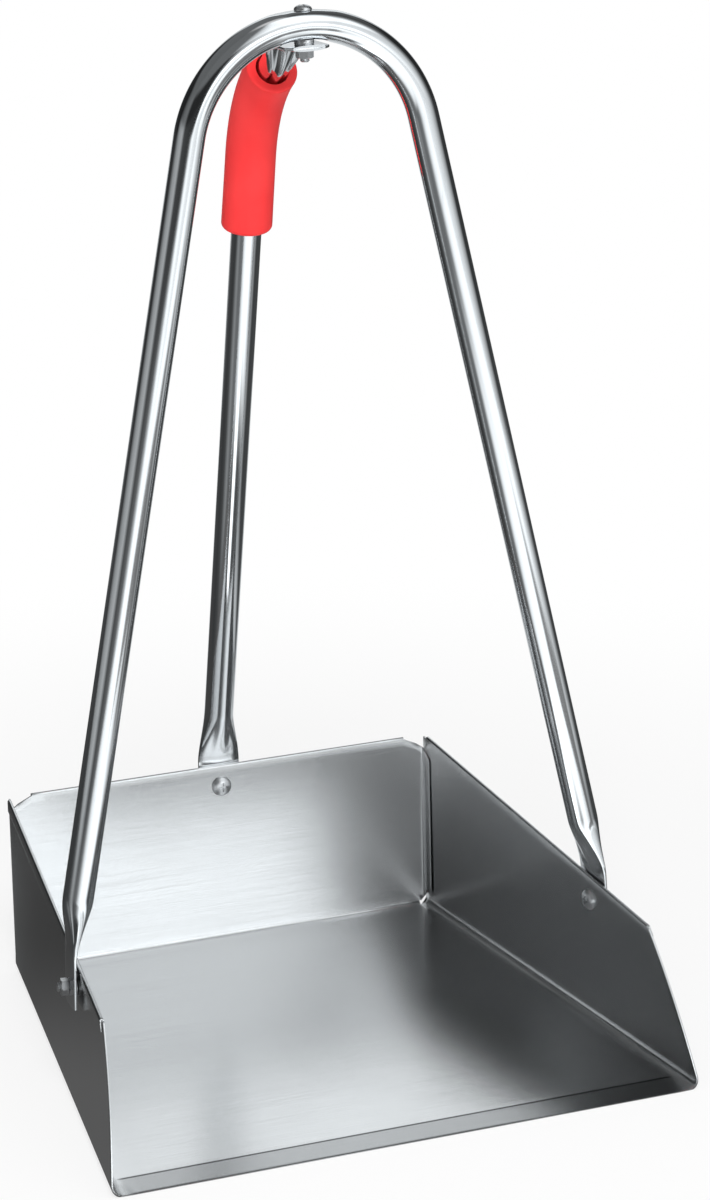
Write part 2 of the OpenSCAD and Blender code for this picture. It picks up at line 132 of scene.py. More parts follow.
class Graph:
    """A node tree that is filled from code."""

    def __init__(self, tree: bpy.types.NodeTree) -> None:
        """Keeps the tree."""
        self.tree = tree

    def node(self, kind: str, settings: Optional[dict] = None, values: Optional[dict] = None,
             output: Union[int, str] = 0) -> Sock:
        """Adds any node.

        Args:
            kind: Node type.
            settings: Properties, set first. A ramp takes "stops" and a float curve takes "curve".
            values: Socket name or index to a number, colour, vector or socket.
            output: Which output to return.

        Returns:
            The chosen output's socket.
        """
        node = self.tree.nodes.new(kind)
        for name, value in (settings or {}).items():
            if name == "stops":
                self._set_stops(node, value)
            elif name == "curve":
                self._set_curve(node, value)
            else:
                setattr(node, name, value)
        for key, value in (values or {}).items():
            if isinstance(value, Sock):
                self.tree.links.new(value.socket, node.inputs[key])
            else:
                node.inputs[key].default_value = value
        return Sock(self, node.outputs[output]) if node.outputs else Sock(self, node.inputs[0])

    @staticmethod
    def _set_stops(node: bpy.types.Node, stops: Sequence[tuple[float, Sequence[float]]]) -> None:
        """Gives a colour ramp its stops.

        Args:
            node: The ramp's node.
            stops: Positions and colours.
        """
        elements = node.color_ramp.elements
        while len(elements) < len(stops):
            elements.new(1.0)
        for element, (position, colour) in zip(elements, stops):
            element.position = position
            element.color = (*colour, 1.0)

    @staticmethod
    def _set_curve(node: bpy.types.Node, points: Sequence[tuple[float, float]]) -> None:
        """Gives a float curve straight runs between its points.

        Args:
            node: The curve's node.
            points: Positions and values.
        """
        node.mapping.use_clip = False
        curve = node.mapping.curves[0]
        while len(curve.points) < len(points):
            curve.points.new(1.0, 1.0)
        for point, place in zip(curve.points, points):
            point.location = place
            point.handle_type = "VECTOR"
        node.mapping.update()

    def mix(self, factor: Value, first: Value, second: Value) -> Sock:
        """Mixes two colours, each a socket or a red, green and blue triple."""
        first, second = (part if isinstance(part, Sock) else (*part, 1.0) for part in (first, second))
        return self.node("ShaderNodeMix", {"data_type": "RGBA"}, {0: factor, 6: first, 7: second}, output=2)

    def place(self) -> Sock:
        """The object's own coordinates."""
        return self.node("ShaderNodeTexCoord", output="Object")

    def part(self, vector: Sock, axis: str) -> Sock:
        """One coordinate of a vector."""
        return self.node("ShaderNodeSeparateXYZ", {}, {0: vector}, axis)

    def vector_math(self, operation: str, *operands: Value) -> Sock:
        """Adds a Vector Math node.

        Args:
            operation: Blender's name of the operation.
            operands: Vectors or sockets.

        Returns:
            The result's socket.
        """
        output = "Value" if operation == "LENGTH" else "Vector"
        values = dict(enumerate(operands))
        return self.node("ShaderNodeVectorMath", {"operation": operation}, values, output)

    def scaled(self, vector: Sock, factor: Value) -> Sock:
        """Scales a vector by a number."""
        return self.node("ShaderNodeVectorMath", {"operation": "SCALE"}, {0: vector, "Scale": factor})

    def bump(self, height: Sock, strength: float, distance: float) -> Sock:
        """Normal of a surface with small heights."""
        values = {"Strength": strength, "Distance": distance, "Height": height}
        return self.node("ShaderNodeBump", {}, values)

    def noise(self, vector: Sock, scale: float = 1.0, detail: float = 3.0, roughness: float = 0.5) -> Sock:
        """Noise between 0 and 1."""
        values = {"Vector": vector, "Scale": scale, "Detail": detail, "Roughness": roughness}
        return self.node("ShaderNodeTexNoise", {}, values)

    def stretched(self, vector: Sock, scale: Triple) -> Sock:
        """Scales a coordinate along its axes."""
        return self.node("ShaderNodeMapping", {}, {"Vector": vector, "Scale": scale})

    def surface(self, values: dict) -> None:
        """Ends a material in one Principled shader."""
        shader = self.node("ShaderNodeBsdfPrincipled", {}, values)
        self.node("ShaderNodeOutputMaterial", {}, {"Surface": shader})


def new_material(name: str) -> tuple[bpy.types.Material, Graph]:
    """Makes an empty node material.

    Args:
        name: The material's name.

    Returns:
        The material and the graph of its tree.
    """
    material = bpy.data.materials.new(name)
    material.use_nodes = True
    material.node_tree.nodes.clear()
    return material, Graph(material.node_tree)


@dataclass(frozen=True)
class BrushedSheet:
    """Stainless sheet with a fine grain along the lip, a painted shade line in the lip's crease, and a
    darker lip whose tone is part ground finish and part painted shade.
    """

    colour: Triple = (0.78, 0.785, 0.79)
    streak_colour: Triple = (0.735, 0.74, 0.745)
    # Painted shade: colour of the dark line painted along the lip's crease.
    crease_shade_colour: Triple = (0.05, 0.05, 0.055)
    # Darker lip tone: part ground finish, part painted shade for the lip's downward tilt.
    lip_ground_and_shade_colour: Triple = (0.51, 0.515, 0.52)
    roughness: float = 0.21
    streak_roughness: float = 0.04
    smear_roughness: float = 0.06
    smear_scale: float = 14.0
    streak_scale: Triple = (7.0, 1100.0, 1.0)
    grain_scale: Triple = (24.0, 3000.0, 1.0)
    grain_share: float = 0.85
    crease_y: float = 17.0
    crease_w: float = 1.1
    crease_half: float = 150.0
    crease_fade: float = 5.0
    # Strength of the painted shade in the lip's crease.
    crease_shade_share: float = 0.9
    lip_fade: float = 0.4

    def material(self) -> bpy.types.Material:
        """Builds the finish on the blank's own coordinates, which the UV map holds in metres.

        Returns:
            The sheet's material.
        """
        material, graph = new_material("brushed_sheet")
        blank = graph.node("ShaderNodeUVMap", {"uv_map": "blank"})
        streak = graph.noise(graph.stretched(blank, self.streak_scale), detail=4.0, roughness=0.6)
        grain = graph.noise(graph.stretched(blank, self.grain_scale), detail=2.0)
        smear = graph.noise(graph.place(), self.smear_scale, roughness=0.55)
        across, along = graph.part(blank, "X").math("ABSOLUTE"), graph.part(blank, "Y")
        on_floor = 1.0 - across.ramp(self.crease_half * MM, (self.crease_half + self.crease_fade) * MM)
        off_crease = (along - self.crease_y * MM).math("ABSOLUTE")
        # Painted shade: mask of a dark line along the lip's crease, where the lip bends down from the floor.
        crease = (1.0 - off_crease.ramp(0.25 * self.crease_w * MM, self.crease_w * MM)) * on_floor
        # Mask of the lip, whose darker tone is part ground finish and part painted shade for its tilt.
        lip_ends = ((self.crease_y - self.lip_fade) * MM, (self.crease_y + self.lip_fade) * MM)
        lip = (1.0 - along.ramp(*lip_ends)) * on_floor
        tone = graph.mix(streak.ramp(0.35, 0.7), self.colour, self.streak_colour)
        # Darker lip: part ground finish, part painted shade.
        tone = graph.mix(lip, tone, self.lip_ground_and_shade_colour)
        # Lays the painted shade line over the crease.
        tone = graph.mix(crease * self.crease_shade_share, tone, self.crease_shade_colour)
        rough = self.roughness + streak * self.streak_roughness + (smear - 0.5) * self.smear_roughness
        height = grain * self.grain_share + streak * (1.0 - self.grain_share)
        bump = graph.bump(height, strength=0.5, distance=0.00006)
        graph.surface({"Base Color": tone, "Metallic": 1.0, "Roughness": rough, "Normal": bump})
        return material


@dataclass(frozen=True)
class PolishedTube:
    """Bright polished steel tube with faint rub marks along it."""

    colour: Triple = (0.90, 0.915, 0.93)
    dull_colour: Triple = (0.80, 0.82, 0.84)
    roughness: float = 0.10
    dull_roughness: float = 0.06
    cloud_roughness: float = 0.05
    rub_scale: Triple = (420.0, 420.0, 16.0)
    cloud_scale: float = 22.0
    dull_share: float = 0.6

    def material(self) -> bpy.types.Material:
        """Builds the finish on Object coordinates.

        Returns:
            The finished material.
        """
        material, graph = new_material("polished_tube")
        place = graph.place()
        rub = graph.noise(graph.stretched(place, self.rub_scale), roughness=0.55)
        cloud = graph.noise(place, self.cloud_scale)
        dull = rub.ramp(0.55, 0.8) * self.dull_share
        tone = graph.mix(dull, self.colour, self.dull_colour)
        rough = self.roughness + dull * self.dull_roughness + (cloud - 0.5) * self.cloud_roughness
        bump = graph.bump(rub, strength=0.12, distance=0.00002)
        graph.surface({"Base Color": tone, "Metallic": 1.0, "Roughness": rough, "Normal": bump})
        return material


@dataclass(frozen=True)
class BrightZinc:
    """Zinc-plated fastener with faint mottling."""

    colour: Triple = (0.90, 0.91, 0.92)
    spot_colour: Triple = (0.76, 0.77, 0.785)
    roughness: float = 0.3
    spot_roughness: float = 0.14
    spot_scale: float = 900.0

    def material(self) -> bpy.types.Material:
        """Builds the finish on Object coordinates.

        Returns:
            The finished material.
        """
        material, graph = new_material("bright_zinc")
        spots = graph.noise(graph.place(), self.spot_scale, roughness=0.6)
        tone = graph.mix(spots.ramp(0.45, 0.75), self.colour, self.spot_colour)
        rough = self.roughness + spots * self.spot_roughness
        bump = graph.bump(spots, strength=0.1, distance=0.00003)
        graph.surface({"Base Color": tone, "Metallic": 1.0, "Roughness": rough, "Normal": bump})
        return material


@dataclass(frozen=True)
class SoftVinyl:
    """Soft red vinyl of the sleeve, with a fine moulded skin."""

    colour: Triple = (0.86, 0.030, 0.032)
    worn_colour: Triple = (0.93, 0.045, 0.045)
    roughness: float = 0.5
    patch_roughness: float = 0.16
    skin_roughness: float = 0.1
    skin_scale: float = 1600.0
    patch_scale: float = 32.0
    ring_scale: Triple = (6.0, 6.0, 260.0)
    specular: float = 0.3

    def material(self) -> bpy.types.Material:
        """Builds the finish on Object coordinates.

        Returns:
            The finished material.
        """
        material, graph = new_material("soft_vinyl")
        place = graph.place()
        skin = graph.noise(place, self.skin_scale, roughness=0.6)
        patch = graph.noise(place, self.patch_scale)
        rings = graph.noise(graph.stretched(place, self.ring_scale), detail=2.0)
        tone = graph.mix(patch.ramp(0.3, 0.75), self.colour, self.worn_colour)
        rough = self.roughness + (patch - 0.5) * self.patch_roughness + (skin - 0.5) * self.skin_roughness
        bump = graph.bump((skin + rings) * 0.5, strength=0.16, distance=0.00012)
        graph.surface({"Base Color": tone, "Roughness": rough, "Normal": bump,
                       "Specular IOR Level": self.specular})
        return material


def turn(axis: str, degrees: float) -> np.ndarray:
    """Rotation matrix about one axis.

    Args:
        axis: "X", "Y" or "Z".
        degrees: Right-handed angle.

    Returns:
        A 3 by 3 matrix.
    """
    return np.array(Matrix.Rotation(math.radians(degrees), 3, axis))


def unit(vector: np.ndarray) -> np.ndarray:
    """Scales vectors to length one."""
    return vector / np.linalg.norm(vector, axis=-1, keepdims=True)


def smooth(value: np.ndarray) -> np.ndarray:
    """Smooth step between 0 and 1."""
    clipped = np.clip(value, 0.0, 1.0)
    return clipped * clipped * (3.0 - 2.0 * clipped)


@dataclass(frozen=True)
class Layout:
    """Sizes that several pieces share, and the frames of the screws."""

    pan_front_w: float = 320.0
    pan_back_w: float = 250.0
    pan_depth: float = 273.0
    sheet_t: float = 1.0
    side_lean: float = 1.7
    back_lean: float = 3.3
    back_h: float = 102.0
    side_front_h: float = 77.0
    side_setback: float = 42.0
    tube_d: float = 16.0
    hoop_lean: float = 5.5
    hoop_rise: float = 460.0
    arch_r: float = 64.0
    seat_deep: float = 0.8
    fit_gap: float = 0.2
    foot_t: float = 3.0
    foot_w: float = 24.0
    foot_down: float = 9.0
    foot_blend: float = 30.0
    foot_margin: float = 4.0
    rear_step: float = 3.0
    side_screw_y: float = 102.0
    side_screw_h: float = 69.5
    rear_screw_h: float = 90.0
    nut_t: float = 4.0
    screw_tail: float = 2.0

    @property
    def lip_y(self) -> float:
        """Place of the lip."""
        return -self.pan_depth / 2

    @property
    def back_y(self) -> float:
        """Place of the back wall's foot."""
        return self.pan_depth / 2

    @property
    def washer_t(self) -> float:
        """Thickness of the washers at the feet, which clear the folded hems."""
        return self.sheet_t + self.fit_gap

    @property
    def foot_mid(self) -> float:
        """Middle of a foot's thickness, out of the wall's face."""
        return self.washer_t + self.foot_t / 2

    @property
    def foot_face(self) -> float:
        """Outer face of a foot, out of the wall's face."""
        return self.washer_t + self.foot_t

    @property
    def hoop_foot_up(self) -> float:
        """Height of a hoop foot over its screw, a margin above the side wall.

        Returns:
            The height in millimetres.
        """
        behind = (self.side_screw_y + self.foot_w / 2) * math.cos(self.taper) - self.side_setback
        length = self.pan_depth + self.back_h * math.tan(math.radians(self.back_lean)) - self.side_setback
        wall = self.side_front_h + (self.back_h - self.side_front_h) * behind / length
        return wall / math.cos(math.radians(self.side_lean)) - self.side_screw_h + self.foot_margin

    @property
    def rear_foot_up(self) -> float:
        """Height of the rear foot over its screw, a margin above the back wall."""
        return self.back_h / math.cos(math.radians(self.back_lean)) - self.rear_screw_h + self.foot_margin

    @property
    def seat_h(self) -> float:
        """Height of the top bolt's seat above the arch's middle."""
        return self.tube_d / 2 - self.seat_deep

    @property
    def top_washer_t(self) -> float:
        """Thickness of the top washer, which makes up for the arch's curve over the tab.

        Returns:
            The thickness in millimetres.
        """
        inside = self.arch_r - self.tube_d / 2
        drop = inside - math.sqrt(inside ** 2 - self.foot_w ** 2 / 4)
        return self.seat_deep + drop + self.fit_gap

    @property
    def tab_top(self) -> float:
        """Upper face of the tab, from the arch's middle."""
        return -self.seat_h - self.top_washer_t

    @property
    def taper(self) -> float:
        """Angle by which a side wall turns in towards the back, in radians."""
        return math.atan2((self.pan_front_w - self.pan_back_w) / 2, self.pan_depth)

    @property
    def side_axes(self) -> np.ndarray:
        """Right side wall's frame: x out of the wall, y along it, z up it."""
        return turn("Z", math.degrees(self.taper)) @ turn("Y", -self.side_lean)

    @property
    def rear_axes(self) -> np.ndarray:
        """Back wall's frame: x out of the wall, z up it."""
        return turn("Z", 90.0) @ turn("Y", self.back_lean)

    @property
    def top_axes(self) -> np.ndarray:
        """Frame of the hoop's plane, with z towards the arch."""
        return turn("X", -self.hoop_lean)

    def at_side_screw(self, point: Sequence[float]) -> np.ndarray:
        """Point in the frame of the right screw."""
        local = np.asarray(point, float) + (0.0, self.side_screw_y, self.side_screw_h)
        return self.side_axes @ local + (self.pan_front_w / 2, self.lip_y, 0.0)

    def at_rear_screw(self, point: Sequence[float]) -> np.ndarray:
        """Point in the frame of the rear screw."""
        local = np.asarray(point, float) + (0.0, 0.0, self.rear_screw_h)
        return self.rear_axes @ local + (0.0, self.back_y, 0.0)

    @property
    def hoop_start(self) -> np.ndarray:
        """End of the right foot, where the leg starts."""
        rise = self.top_axes @ np.array([0.0, 0.0, self.hoop_foot_up])
        return self.at_side_screw(np.array([self.foot_mid, 0.0, 0.0]) + rise)

    def in_hoop(self, point: Sequence[float]) -> np.ndarray:
        """Point in the hoop's plane, above the feet."""
        return self.top_axes @ np.asarray(point, float) + (0.0, *self.hoop_start[1:])

    def at_apex(self, point: Sequence[float]) -> np.ndarray:
        """Point in the frame of the arch's highest section."""
        return self.in_hoop(np.asarray(point, float) + (0.0, 0.0, self.hoop_rise))


def mesh_piece(name: str, points: np.ndarray, faces: Iterable[Sequence[int]],
               blank: Optional[np.ndarray] = None) -> bpy.types.Object:
    """Makes a mesh object from millimetre points.

    Args:
        name: The piece's name.
        points: Vertices in millimetres.
        faces: Vertex indices of each face.
        blank: Optional flat coordinates of each vertex, kept as the UV map "blank".

    Returns:
        The object, linked to the scene.
    """
    mesh = bpy.data.meshes.new(name)
    mesh.from_pydata((np.asarray(points) * MM).tolist(), [], [list(face) for face in faces])
    if blank is not None:
        layer = mesh.uv_layers.new(name="blank")
        corners = np.array([loop.vertex_index for loop in mesh.loops])
        layer.data.foreach_set("uv", (np.asarray(blank)[corners] * MM).astype(np.float32).ravel())
    return add_object(name, mesh)


def add_object(name: str, data: bpy.types.ID) -> bpy.types.Object:
    """Links a new object to the scene.

    Args:
        name: The object's name.
        data: Its mesh, curve, lamp or camera.

    Returns:
        The linked object.
    """
    thing = bpy.data.objects.new(name, data)
    bpy.context.scene.collection.objects.link(thing)
    return thing


def ring_faces(rings: int, count: int) -> list[tuple[int, ...]]:
    """Quads between neighbouring closed rings of points.

    Args:
        rings: How many rings there are.
        count: Points in each ring.

    Returns:
        Vertex indices of each quad.
    """
    faces = []
    for row in range(rings - 1):
        for column in range(count):
            first, second = row * count + column, row * count + (column + 1) % count
            faces.append((first, second, second + count, first + count))
    return faces


def weld(mesh: bpy.types.Mesh, outward: bool, sharp: float = 32.0) -> None:
    """Merges doubles, turns faces outwards where asked, and shades smoothly up to an angle.

    Args:
        mesh: The mesh to finish.
        outward: Whether the mesh is closed and its faces are to be turned outwards.
        sharp: Angle in degrees from which an edge stays sharp.
    """
    shape = bmesh.new()
    shape.from_mesh(mesh)
    bmesh.ops.remove_doubles(shape, verts=shape.verts, dist=WELD_GAP)
    if outward:
        bmesh.ops.recalc_face_normals(shape, faces=shape.faces)
    for face in shape.faces:
        face.smooth = True
    for edge in shape.edges:
        edge.smooth = len(edge.link_faces) == 2 and edge.calc_face_angle(0.0) < math.radians(sharp)
    shape.to_mesh(mesh)
    shape.free()
    mesh.update()


def take_mesh(piece: bpy.types.Object) -> bpy.types.Mesh:
    """Takes an object's mesh with its modifiers applied, and removes the modifiers.

    Args:
        piece: The object.

    Returns:
        The finished mesh.
    """
    bpy.context.view_layer.update()
    depsgraph = bpy.context.evaluated_depsgraph_get()
    mesh = bpy.data.meshes.new_from_object(piece.evaluated_get(depsgraph))
    piece.modifiers.clear()
    return mesh


def hand_over(piece: bpy.types.Object, material: bpy.types.Material, node: str, body: Body) -> None:
    """Gives a finished piece its finish and its body, and hides the node that it replaces.

    Args:
        piece: The finished piece.
        material: Its finish.
        node: The node that it replaces.
        body: The body that it rides on.
    """
    piece.data.materials.clear()
    piece.data.materials.append(material)
    for polygon in piece.data.polygons:
        polygon.material_index = 0
    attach(piece, body.value)
    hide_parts(node)
    LOG.info("%s rides on %s with %d faces", piece.name, body.value, len(piece.data.polygons))


class SheetPatch:
    """Grid of points that joins other patches of one sheet along shared points."""

    def __init__(self) -> None:
        """Starts an empty sheet."""
        self.points: list[np.ndarray] = []
        self.blank: list[np.ndarray] = []
        self.faces: list[tuple[int, int, int, int]] = []

    def add(self, grid: np.ndarray, flat: np.ndarray, flip: bool) -> None:
        """Adds a grid of quads.

        Args:
            grid: Rows by columns by 3 array of points.
            flat: Rows by columns by 2 array of the unfolded blank.
            flip: Whether to turn the faces over.
        """
        start = sum(len(block) for block in self.points)
        rows, columns = grid.shape[:2]
        self.points.append(grid.reshape(-1, 3))
        self.blank.append(flat.reshape(-1, 2))
        for row in range(rows - 1):
            for column in range(columns - 1):
                first = start + row * columns + column
                quad = (first, first + 1, first + columns + 1, first + columns)
                self.faces.append(quad[::-1] if flip else quad)


@dataclass
class PanSheet:
    """Pan folded from one sheet: floor, walls, hems, corner flanges and thinned lip."""

    layout: Layout
    half_front_low: float = 162.0
    half_front_top: float = 151.1
    half_back_low: float = 124.0
    half_back_top: float = 123.5
    front_tuck: float = 5.5
    side_fold: float = 5.5
    fold_reach: float = 1.04
    back_fold: float = 3.0
    front_r: float = 300.0
    hem_w: float = 5.5
    hem_gap: float = 0.12
    corner_r: float = 2.5
    flange_l: float = 8.0
    flange_gap: float = 0.08
    flange_low: float = 8.2
    flange_slope: float = 0.75
    flange_thin: float = 0.65
    relief_low: float = 3.6
    relief_rise: float = 3.2
    hem_half: float = 112.0
    corner_drop: float = 6.0
    notch: float = 3.4
    notch_blend: float = 1.5
    wall_inset: float = 0.2
    edge_break: float = 0.18
    edge_angle: float = 55.0
    lip_w: float = 19.0
    lip_t: float = 0.4
    rows: int = 70
    lip_rows: int = 9
    back_rows: int = 24
    floor_columns: int = 15
    fold_columns: int = 9
    wall_columns: int = 19
    sheet: SheetPatch = field(default_factory=SheetPatch)

    @property
    def top_drop(self) -> float:
        """Height that the rolled hem adds to a wall."""
        return self.hem_gap + self.layout.sheet_t

    def front_y(self, height: np.ndarray) -> np.ndarray:
        """Bowed front edge of the side walls at a height.

        Args:
            height: Heights above the floor.

        Returns:
            Places along the depth.
        """
        set_in, rise = self.layout.side_setback, self.layout.side_front_h
        chord = math.hypot(set_in, rise)
        reach = math.sqrt(self.front_r ** 2 - chord ** 2 / 4) / chord
        middle = (self.layout.lip_y + set_in / 2 + reach * rise, rise / 2 - reach * set_in)
        return middle[0] - np.sqrt(self.front_r ** 2 - (height - middle[1]) ** 2)

    @property
    def flange_face(self) -> float:
        """Place of the corner flanges' faces, just inside the side walls."""
        return self.half_back_low - self.layout.sheet_t - self.flange_gap

    @property
    def floor_end(self) -> float:
        """Place where the floor starts to fold up into the back wall."""
        lean = math.radians(self.layout.back_lean)
        return self.layout.back_y - self.back_fold * (1 - math.sin(lean)) / math.cos(lean)

    def back_plane(self, height: np.ndarray) -> np.ndarray:
        """Outer face of the back wall at a height."""
        return self.layout.back_y + height * math.tan(math.radians(self.layout.back_lean))

    def low_half(self, share: np.ndarray) -> np.ndarray:
        """Half width at the foot of the side walls, at a share of the depth."""
        return self.half_front_low + (self.half_back_low - self.half_front_low) * share

    def top_half(self, share: np.ndarray) -> np.ndarray:
        """Half width at the top of the side walls, at a share of the depth."""
        return self.half_front_top + (self.half_back_top - self.half_front_top) * share

    def flat_half(self, share: np.ndarray) -> np.ndarray:
        """Half width of the flat floor at a share of the depth."""
        return self.low_half(share) - self.side_fold * self.fold_reach

    def _floor(self, share: np.ndarray) -> None:
        """Adds the flat floor, whose rows gather at the lip's crease.

        Args:
            share: Stations along the depth.
        """
        across = np.linspace(-1.0, 1.0, 2 * self.floor_columns + 1)
        grid = np.zeros((len(share), len(across), 3))
        grid[..., 0] = self.flat_half(share)[:, None] * across
        grid[..., 1] = (self.layout.lip_y + share * (self.floor_end - self.layout.lip_y))[:, None]
        flat = grid[..., :2].copy()
        flat[..., 1] -= self.layout.lip_y
        self.sheet.add(grid, flat, flip=True)

    def _side(self, share: np.ndarray, side: int) -> None:
        """Adds one side: fold, wall and hem.

        Args:
            share: Stations along the depth.
            side: 1 for the right wall, -1 for the left.
        """
        columns = [self._fold_column(share, amount) for amount in np.linspace(0.0, 1.0, self.fold_columns)]
        for amount in np.linspace(0.0, 1.0, self.wall_columns)[1:]:
            columns.append(self._wall_column(share, amount))
        grid = np.stack(columns, axis=1)
        travel = np.stack([run_length(row) for row in grid])
        flat = np.zeros((*travel.shape, 2))
        flat[..., 0] = side * (self.flat_half(share)[:, None] + travel)
        flat[..., 1] = (share * (self.floor_end - self.layout.lip_y))[:, None]
        grid[..., 0] *= side
        self.sheet.add(grid, flat, flip=side > 0)
        self._side_hem(grid[:, -1], grid[:, -2], flat[:, -1], side)

    def _fold_arc(self, share: np.ndarray, amount: float) -> tuple[np.ndarray, np.ndarray]:
        """Section of the fold between the floor and the right wall.

        Args:
            share: Stations along the depth.
            amount: Share of the fold's arc.

        Returns:
            Places across and heights, one for each station.
        """
        rise = self.layout.side_front_h + (self.layout.back_h - self.layout.side_front_h) * share
        tuck = self.low_half(share) - self.top_half(share) - self.front_tuck * (1 - share)
        angle = -math.pi / 2 + amount * (math.pi / 2 + np.arctan2(tuck, rise))
        across = self.flat_half(share) + self.side_fold * np.cos(angle)
        return across, self.side_fold + self.side_fold * np.sin(angle)

    def _fold_column(self, share: np.ndarray, amount: float) -> np.ndarray:
        """Points of one column of the fold, up to the corner relief."""
        across, rise = self._fold_arc(share, amount)
        return self._column(share, across, (rise[0], rise[-1]), self.floor_end + self.notch * amount ** 0.5)

    def _wall_column(self, share: np.ndarray, amount: float) -> np.ndarray:
        """Points of one column of the right wall above its fold.

        Args:
            share: Stations along the depth.
            amount: Share of the wall's height above the fold.

        Returns:
            One point for each station.
        """
        across, rise = self._fold_arc(share, 1.0)
        front = rise[0] + (self.layout.side_front_h - self.top_drop - rise[0]) * amount
        back = rise[-1] + (self.layout.back_h - self.top_drop - rise[-1]) * amount
        across = across + (self.top_half(share) - across) * amount
        notch = self.floor_end + self.notch
        past_notch = smooth((back - self.side_fold) / self.notch_blend)
        end = notch + (self.back_plane(back) - self.wall_inset - notch) * past_notch
        return self._column(share, across, (front, back), end)

    def _column(self, share: np.ndarray, across: np.ndarray, heights: Pair, end: float) -> np.ndarray:
        """Points of a column from the bowed front edge to its end at the back.

        Args:
            share: Stations along the depth.
            across: Place across of each station.
            heights: Heights at the front and at the back.
            end: Place of the column's end along the depth.

        Returns:
            One point for each station.
        """
        front, back = heights
        begin = self.front_y(front)
        return np.stack([across, begin + (end - begin) * share, front + (back - front) * share], axis=1)

    def _side_hem(self, top: np.ndarray, below: np.ndarray, flat: np.ndarray, side: int) -> None:
        """Adds the hem that is folded outwards along the top of a side wall.

        Args:
            top: Points of the wall's top edge.
            below: The next points down the wall.
            flat: Blank coordinates of the edge.
            side: 1 for the right wall, -1 for the left.
        """
        up = unit(top - below)
        along = unit(np.gradient(top, axis=0))
        out = unit(np.cross(along, up)) * side
        self.sheet.add(*self._hem(top, up, out, flat, slice(1, -1)), flip=side > 0)

    def _hem(self, top: np.ndarray, up: np.ndarray, out: np.ndarray, flat: np.ndarray,
             span: slice) -> tuple[np.ndarray, np.ndarray]:
        """Rolls an edge outwards and down.

        Args:
            top: Points of the wall's top edge.
            up: Direction up the wall at each point.
            out: Direction out of the wall at each point.
            flat: Blank coordinates of the edge.
            span: Stations that the hem covers.

        Returns:
            The hem's grid and its blank coordinates.
        """
        top, up, out, flat = top[span], up[span], out[span], flat[span]
        columns = [top]
        for angle in np.linspace(0.0, math.pi, 9)[1:]:
            middle = top + self.hem_gap * out
            columns.append(middle + self.hem_gap * (up * math.sin(angle) - out * math.cos(angle)))
        for drop in (1.5, 3.0, self.hem_w):
            columns.append(top + 2 * self.hem_gap * out - up * drop)
        grid = np.stack(columns, axis=1)
        shift = np.linspace(0.0, self.hem_w + 1.0, grid.shape[1])
        blank = np.repeat(flat[:, None], grid.shape[1], axis=1)
        blank[..., 0] += shift * np.sign(flat[0, 0] if abs(flat[0, 0]) > 1 else 1.0)
        return grid, blank

    def _back_columns(self) -> tuple[np.ndarray, np.ndarray, np.ndarray, np.ndarray]:
        """Columns of the back wall from the middle to the right flange's end.

        Returns:
            Places across, distances in front of the wall, lower heights and upper heights.
        """
        flat_end = float(self.flat_half(np.array(1.0)))
        main = flat_end * np.linspace(0.0, 1.0, self.floor_columns + 1)
        face = self.flange_face
        turn_x = face - self.corner_r
        angles = np.linspace(0.0, math.pi / 2, 6)
        across = [*main, (flat_end + turn_x) / 2]
        ahead = [0.0] * len(across)
        low = [self.fold_top] * len(main) + [self.fold_top - 0.5]
        for angle in angles:
            across.append(turn_x + self.corner_r * math.sin(angle))
            ahead.append(self.corner_r * (1 - math.cos(angle)))
            low.append(self.relief_low + self.relief_rise * angle / (math.pi / 2))
        for step in np.linspace(0.0, 1.0, 4)[1:]:
            across.append(face)
            ahead.append(self.corner_r + (self.flange_l - self.corner_r) * step)
            low.append(self.flange_low)
        across_array, ahead_array = np.array(across), np.array(ahead)
        past = np.clip((across_array - self.hem_half) / (face - self.hem_half), 0.0, 1.0)
        top = self.layout.back_h - self.top_drop - self.corner_drop * smooth(past)
        top = top - self.flange_slope * ahead_array
        return across_array, ahead_array, np.array(low), top

    @property
    def fold_top(self) -> float:
        """Height at which the back fold ends."""
        return self.back_fold * (1 - math.sin(math.radians(self.layout.back_lean)))

    def _back(self) -> None:
        """Adds the back: fold, wall, corner flanges and hem."""
        lean = math.radians(self.layout.back_lean)
        flat_end = float(self.flat_half(np.array(1.0)))
        across = flat_end * np.linspace(-1.0, 1.0, 2 * self.floor_columns + 1)
        angles = np.linspace(-math.pi / 2, -lean, 8)
        fold = np.zeros((len(angles), len(across), 3))
        fold[..., 0] = across
        fold[..., 1] = (self.floor_end + self.back_fold * np.cos(angles))[:, None]
        fold[..., 2] = (self.back_fold + self.back_fold * np.sin(angles))[:, None]
        depth = self.floor_end - self.layout.lip_y
        flat = fold[..., :2].copy()
        flat[..., 1] = (depth + self.back_fold * (angles + math.pi / 2))[:, None]
        self.sheet.add(fold, flat, flip=True)

        right = self._back_columns()
        x, ahead, low, top = (np.concatenate([sign * part[:0:-1], part])
                              for sign, part in zip((-1, 1, 1, 1), right))
        share = np.linspace(0.0, 1.0, self.back_rows)[:, None]
        wall = np.zeros((self.back_rows, len(x), 3))
        wall[..., 2] = low + (top - low) * share
        wall[..., 0] = x
        wall[..., 1] = self.back_plane(wall[..., 2]) - ahead
        blank = np.zeros((self.back_rows, len(x), 2))
        blank[..., 0] = x + np.sign(x) * ahead
        blank[..., 1] = depth + 2.0 + wall[..., 2]
        self.sheet.add(wall, blank, flip=True)
        keep = np.flatnonzero(np.abs(x) < self.hem_half + 0.5)
        edge = slice(int(keep[0]), int(keep[-1]) + 1)
        up = np.repeat([[0.0, math.sin(lean), math.cos(lean)]], len(x), axis=0)
        out = np.repeat([[0.0, math.cos(lean), -math.sin(lean)]], len(x), axis=0)
        hem, hem_blank = self._hem(wall[-1], up, out, blank[-1], edge)
        self.sheet.add(hem, hem_blank, flip=False)

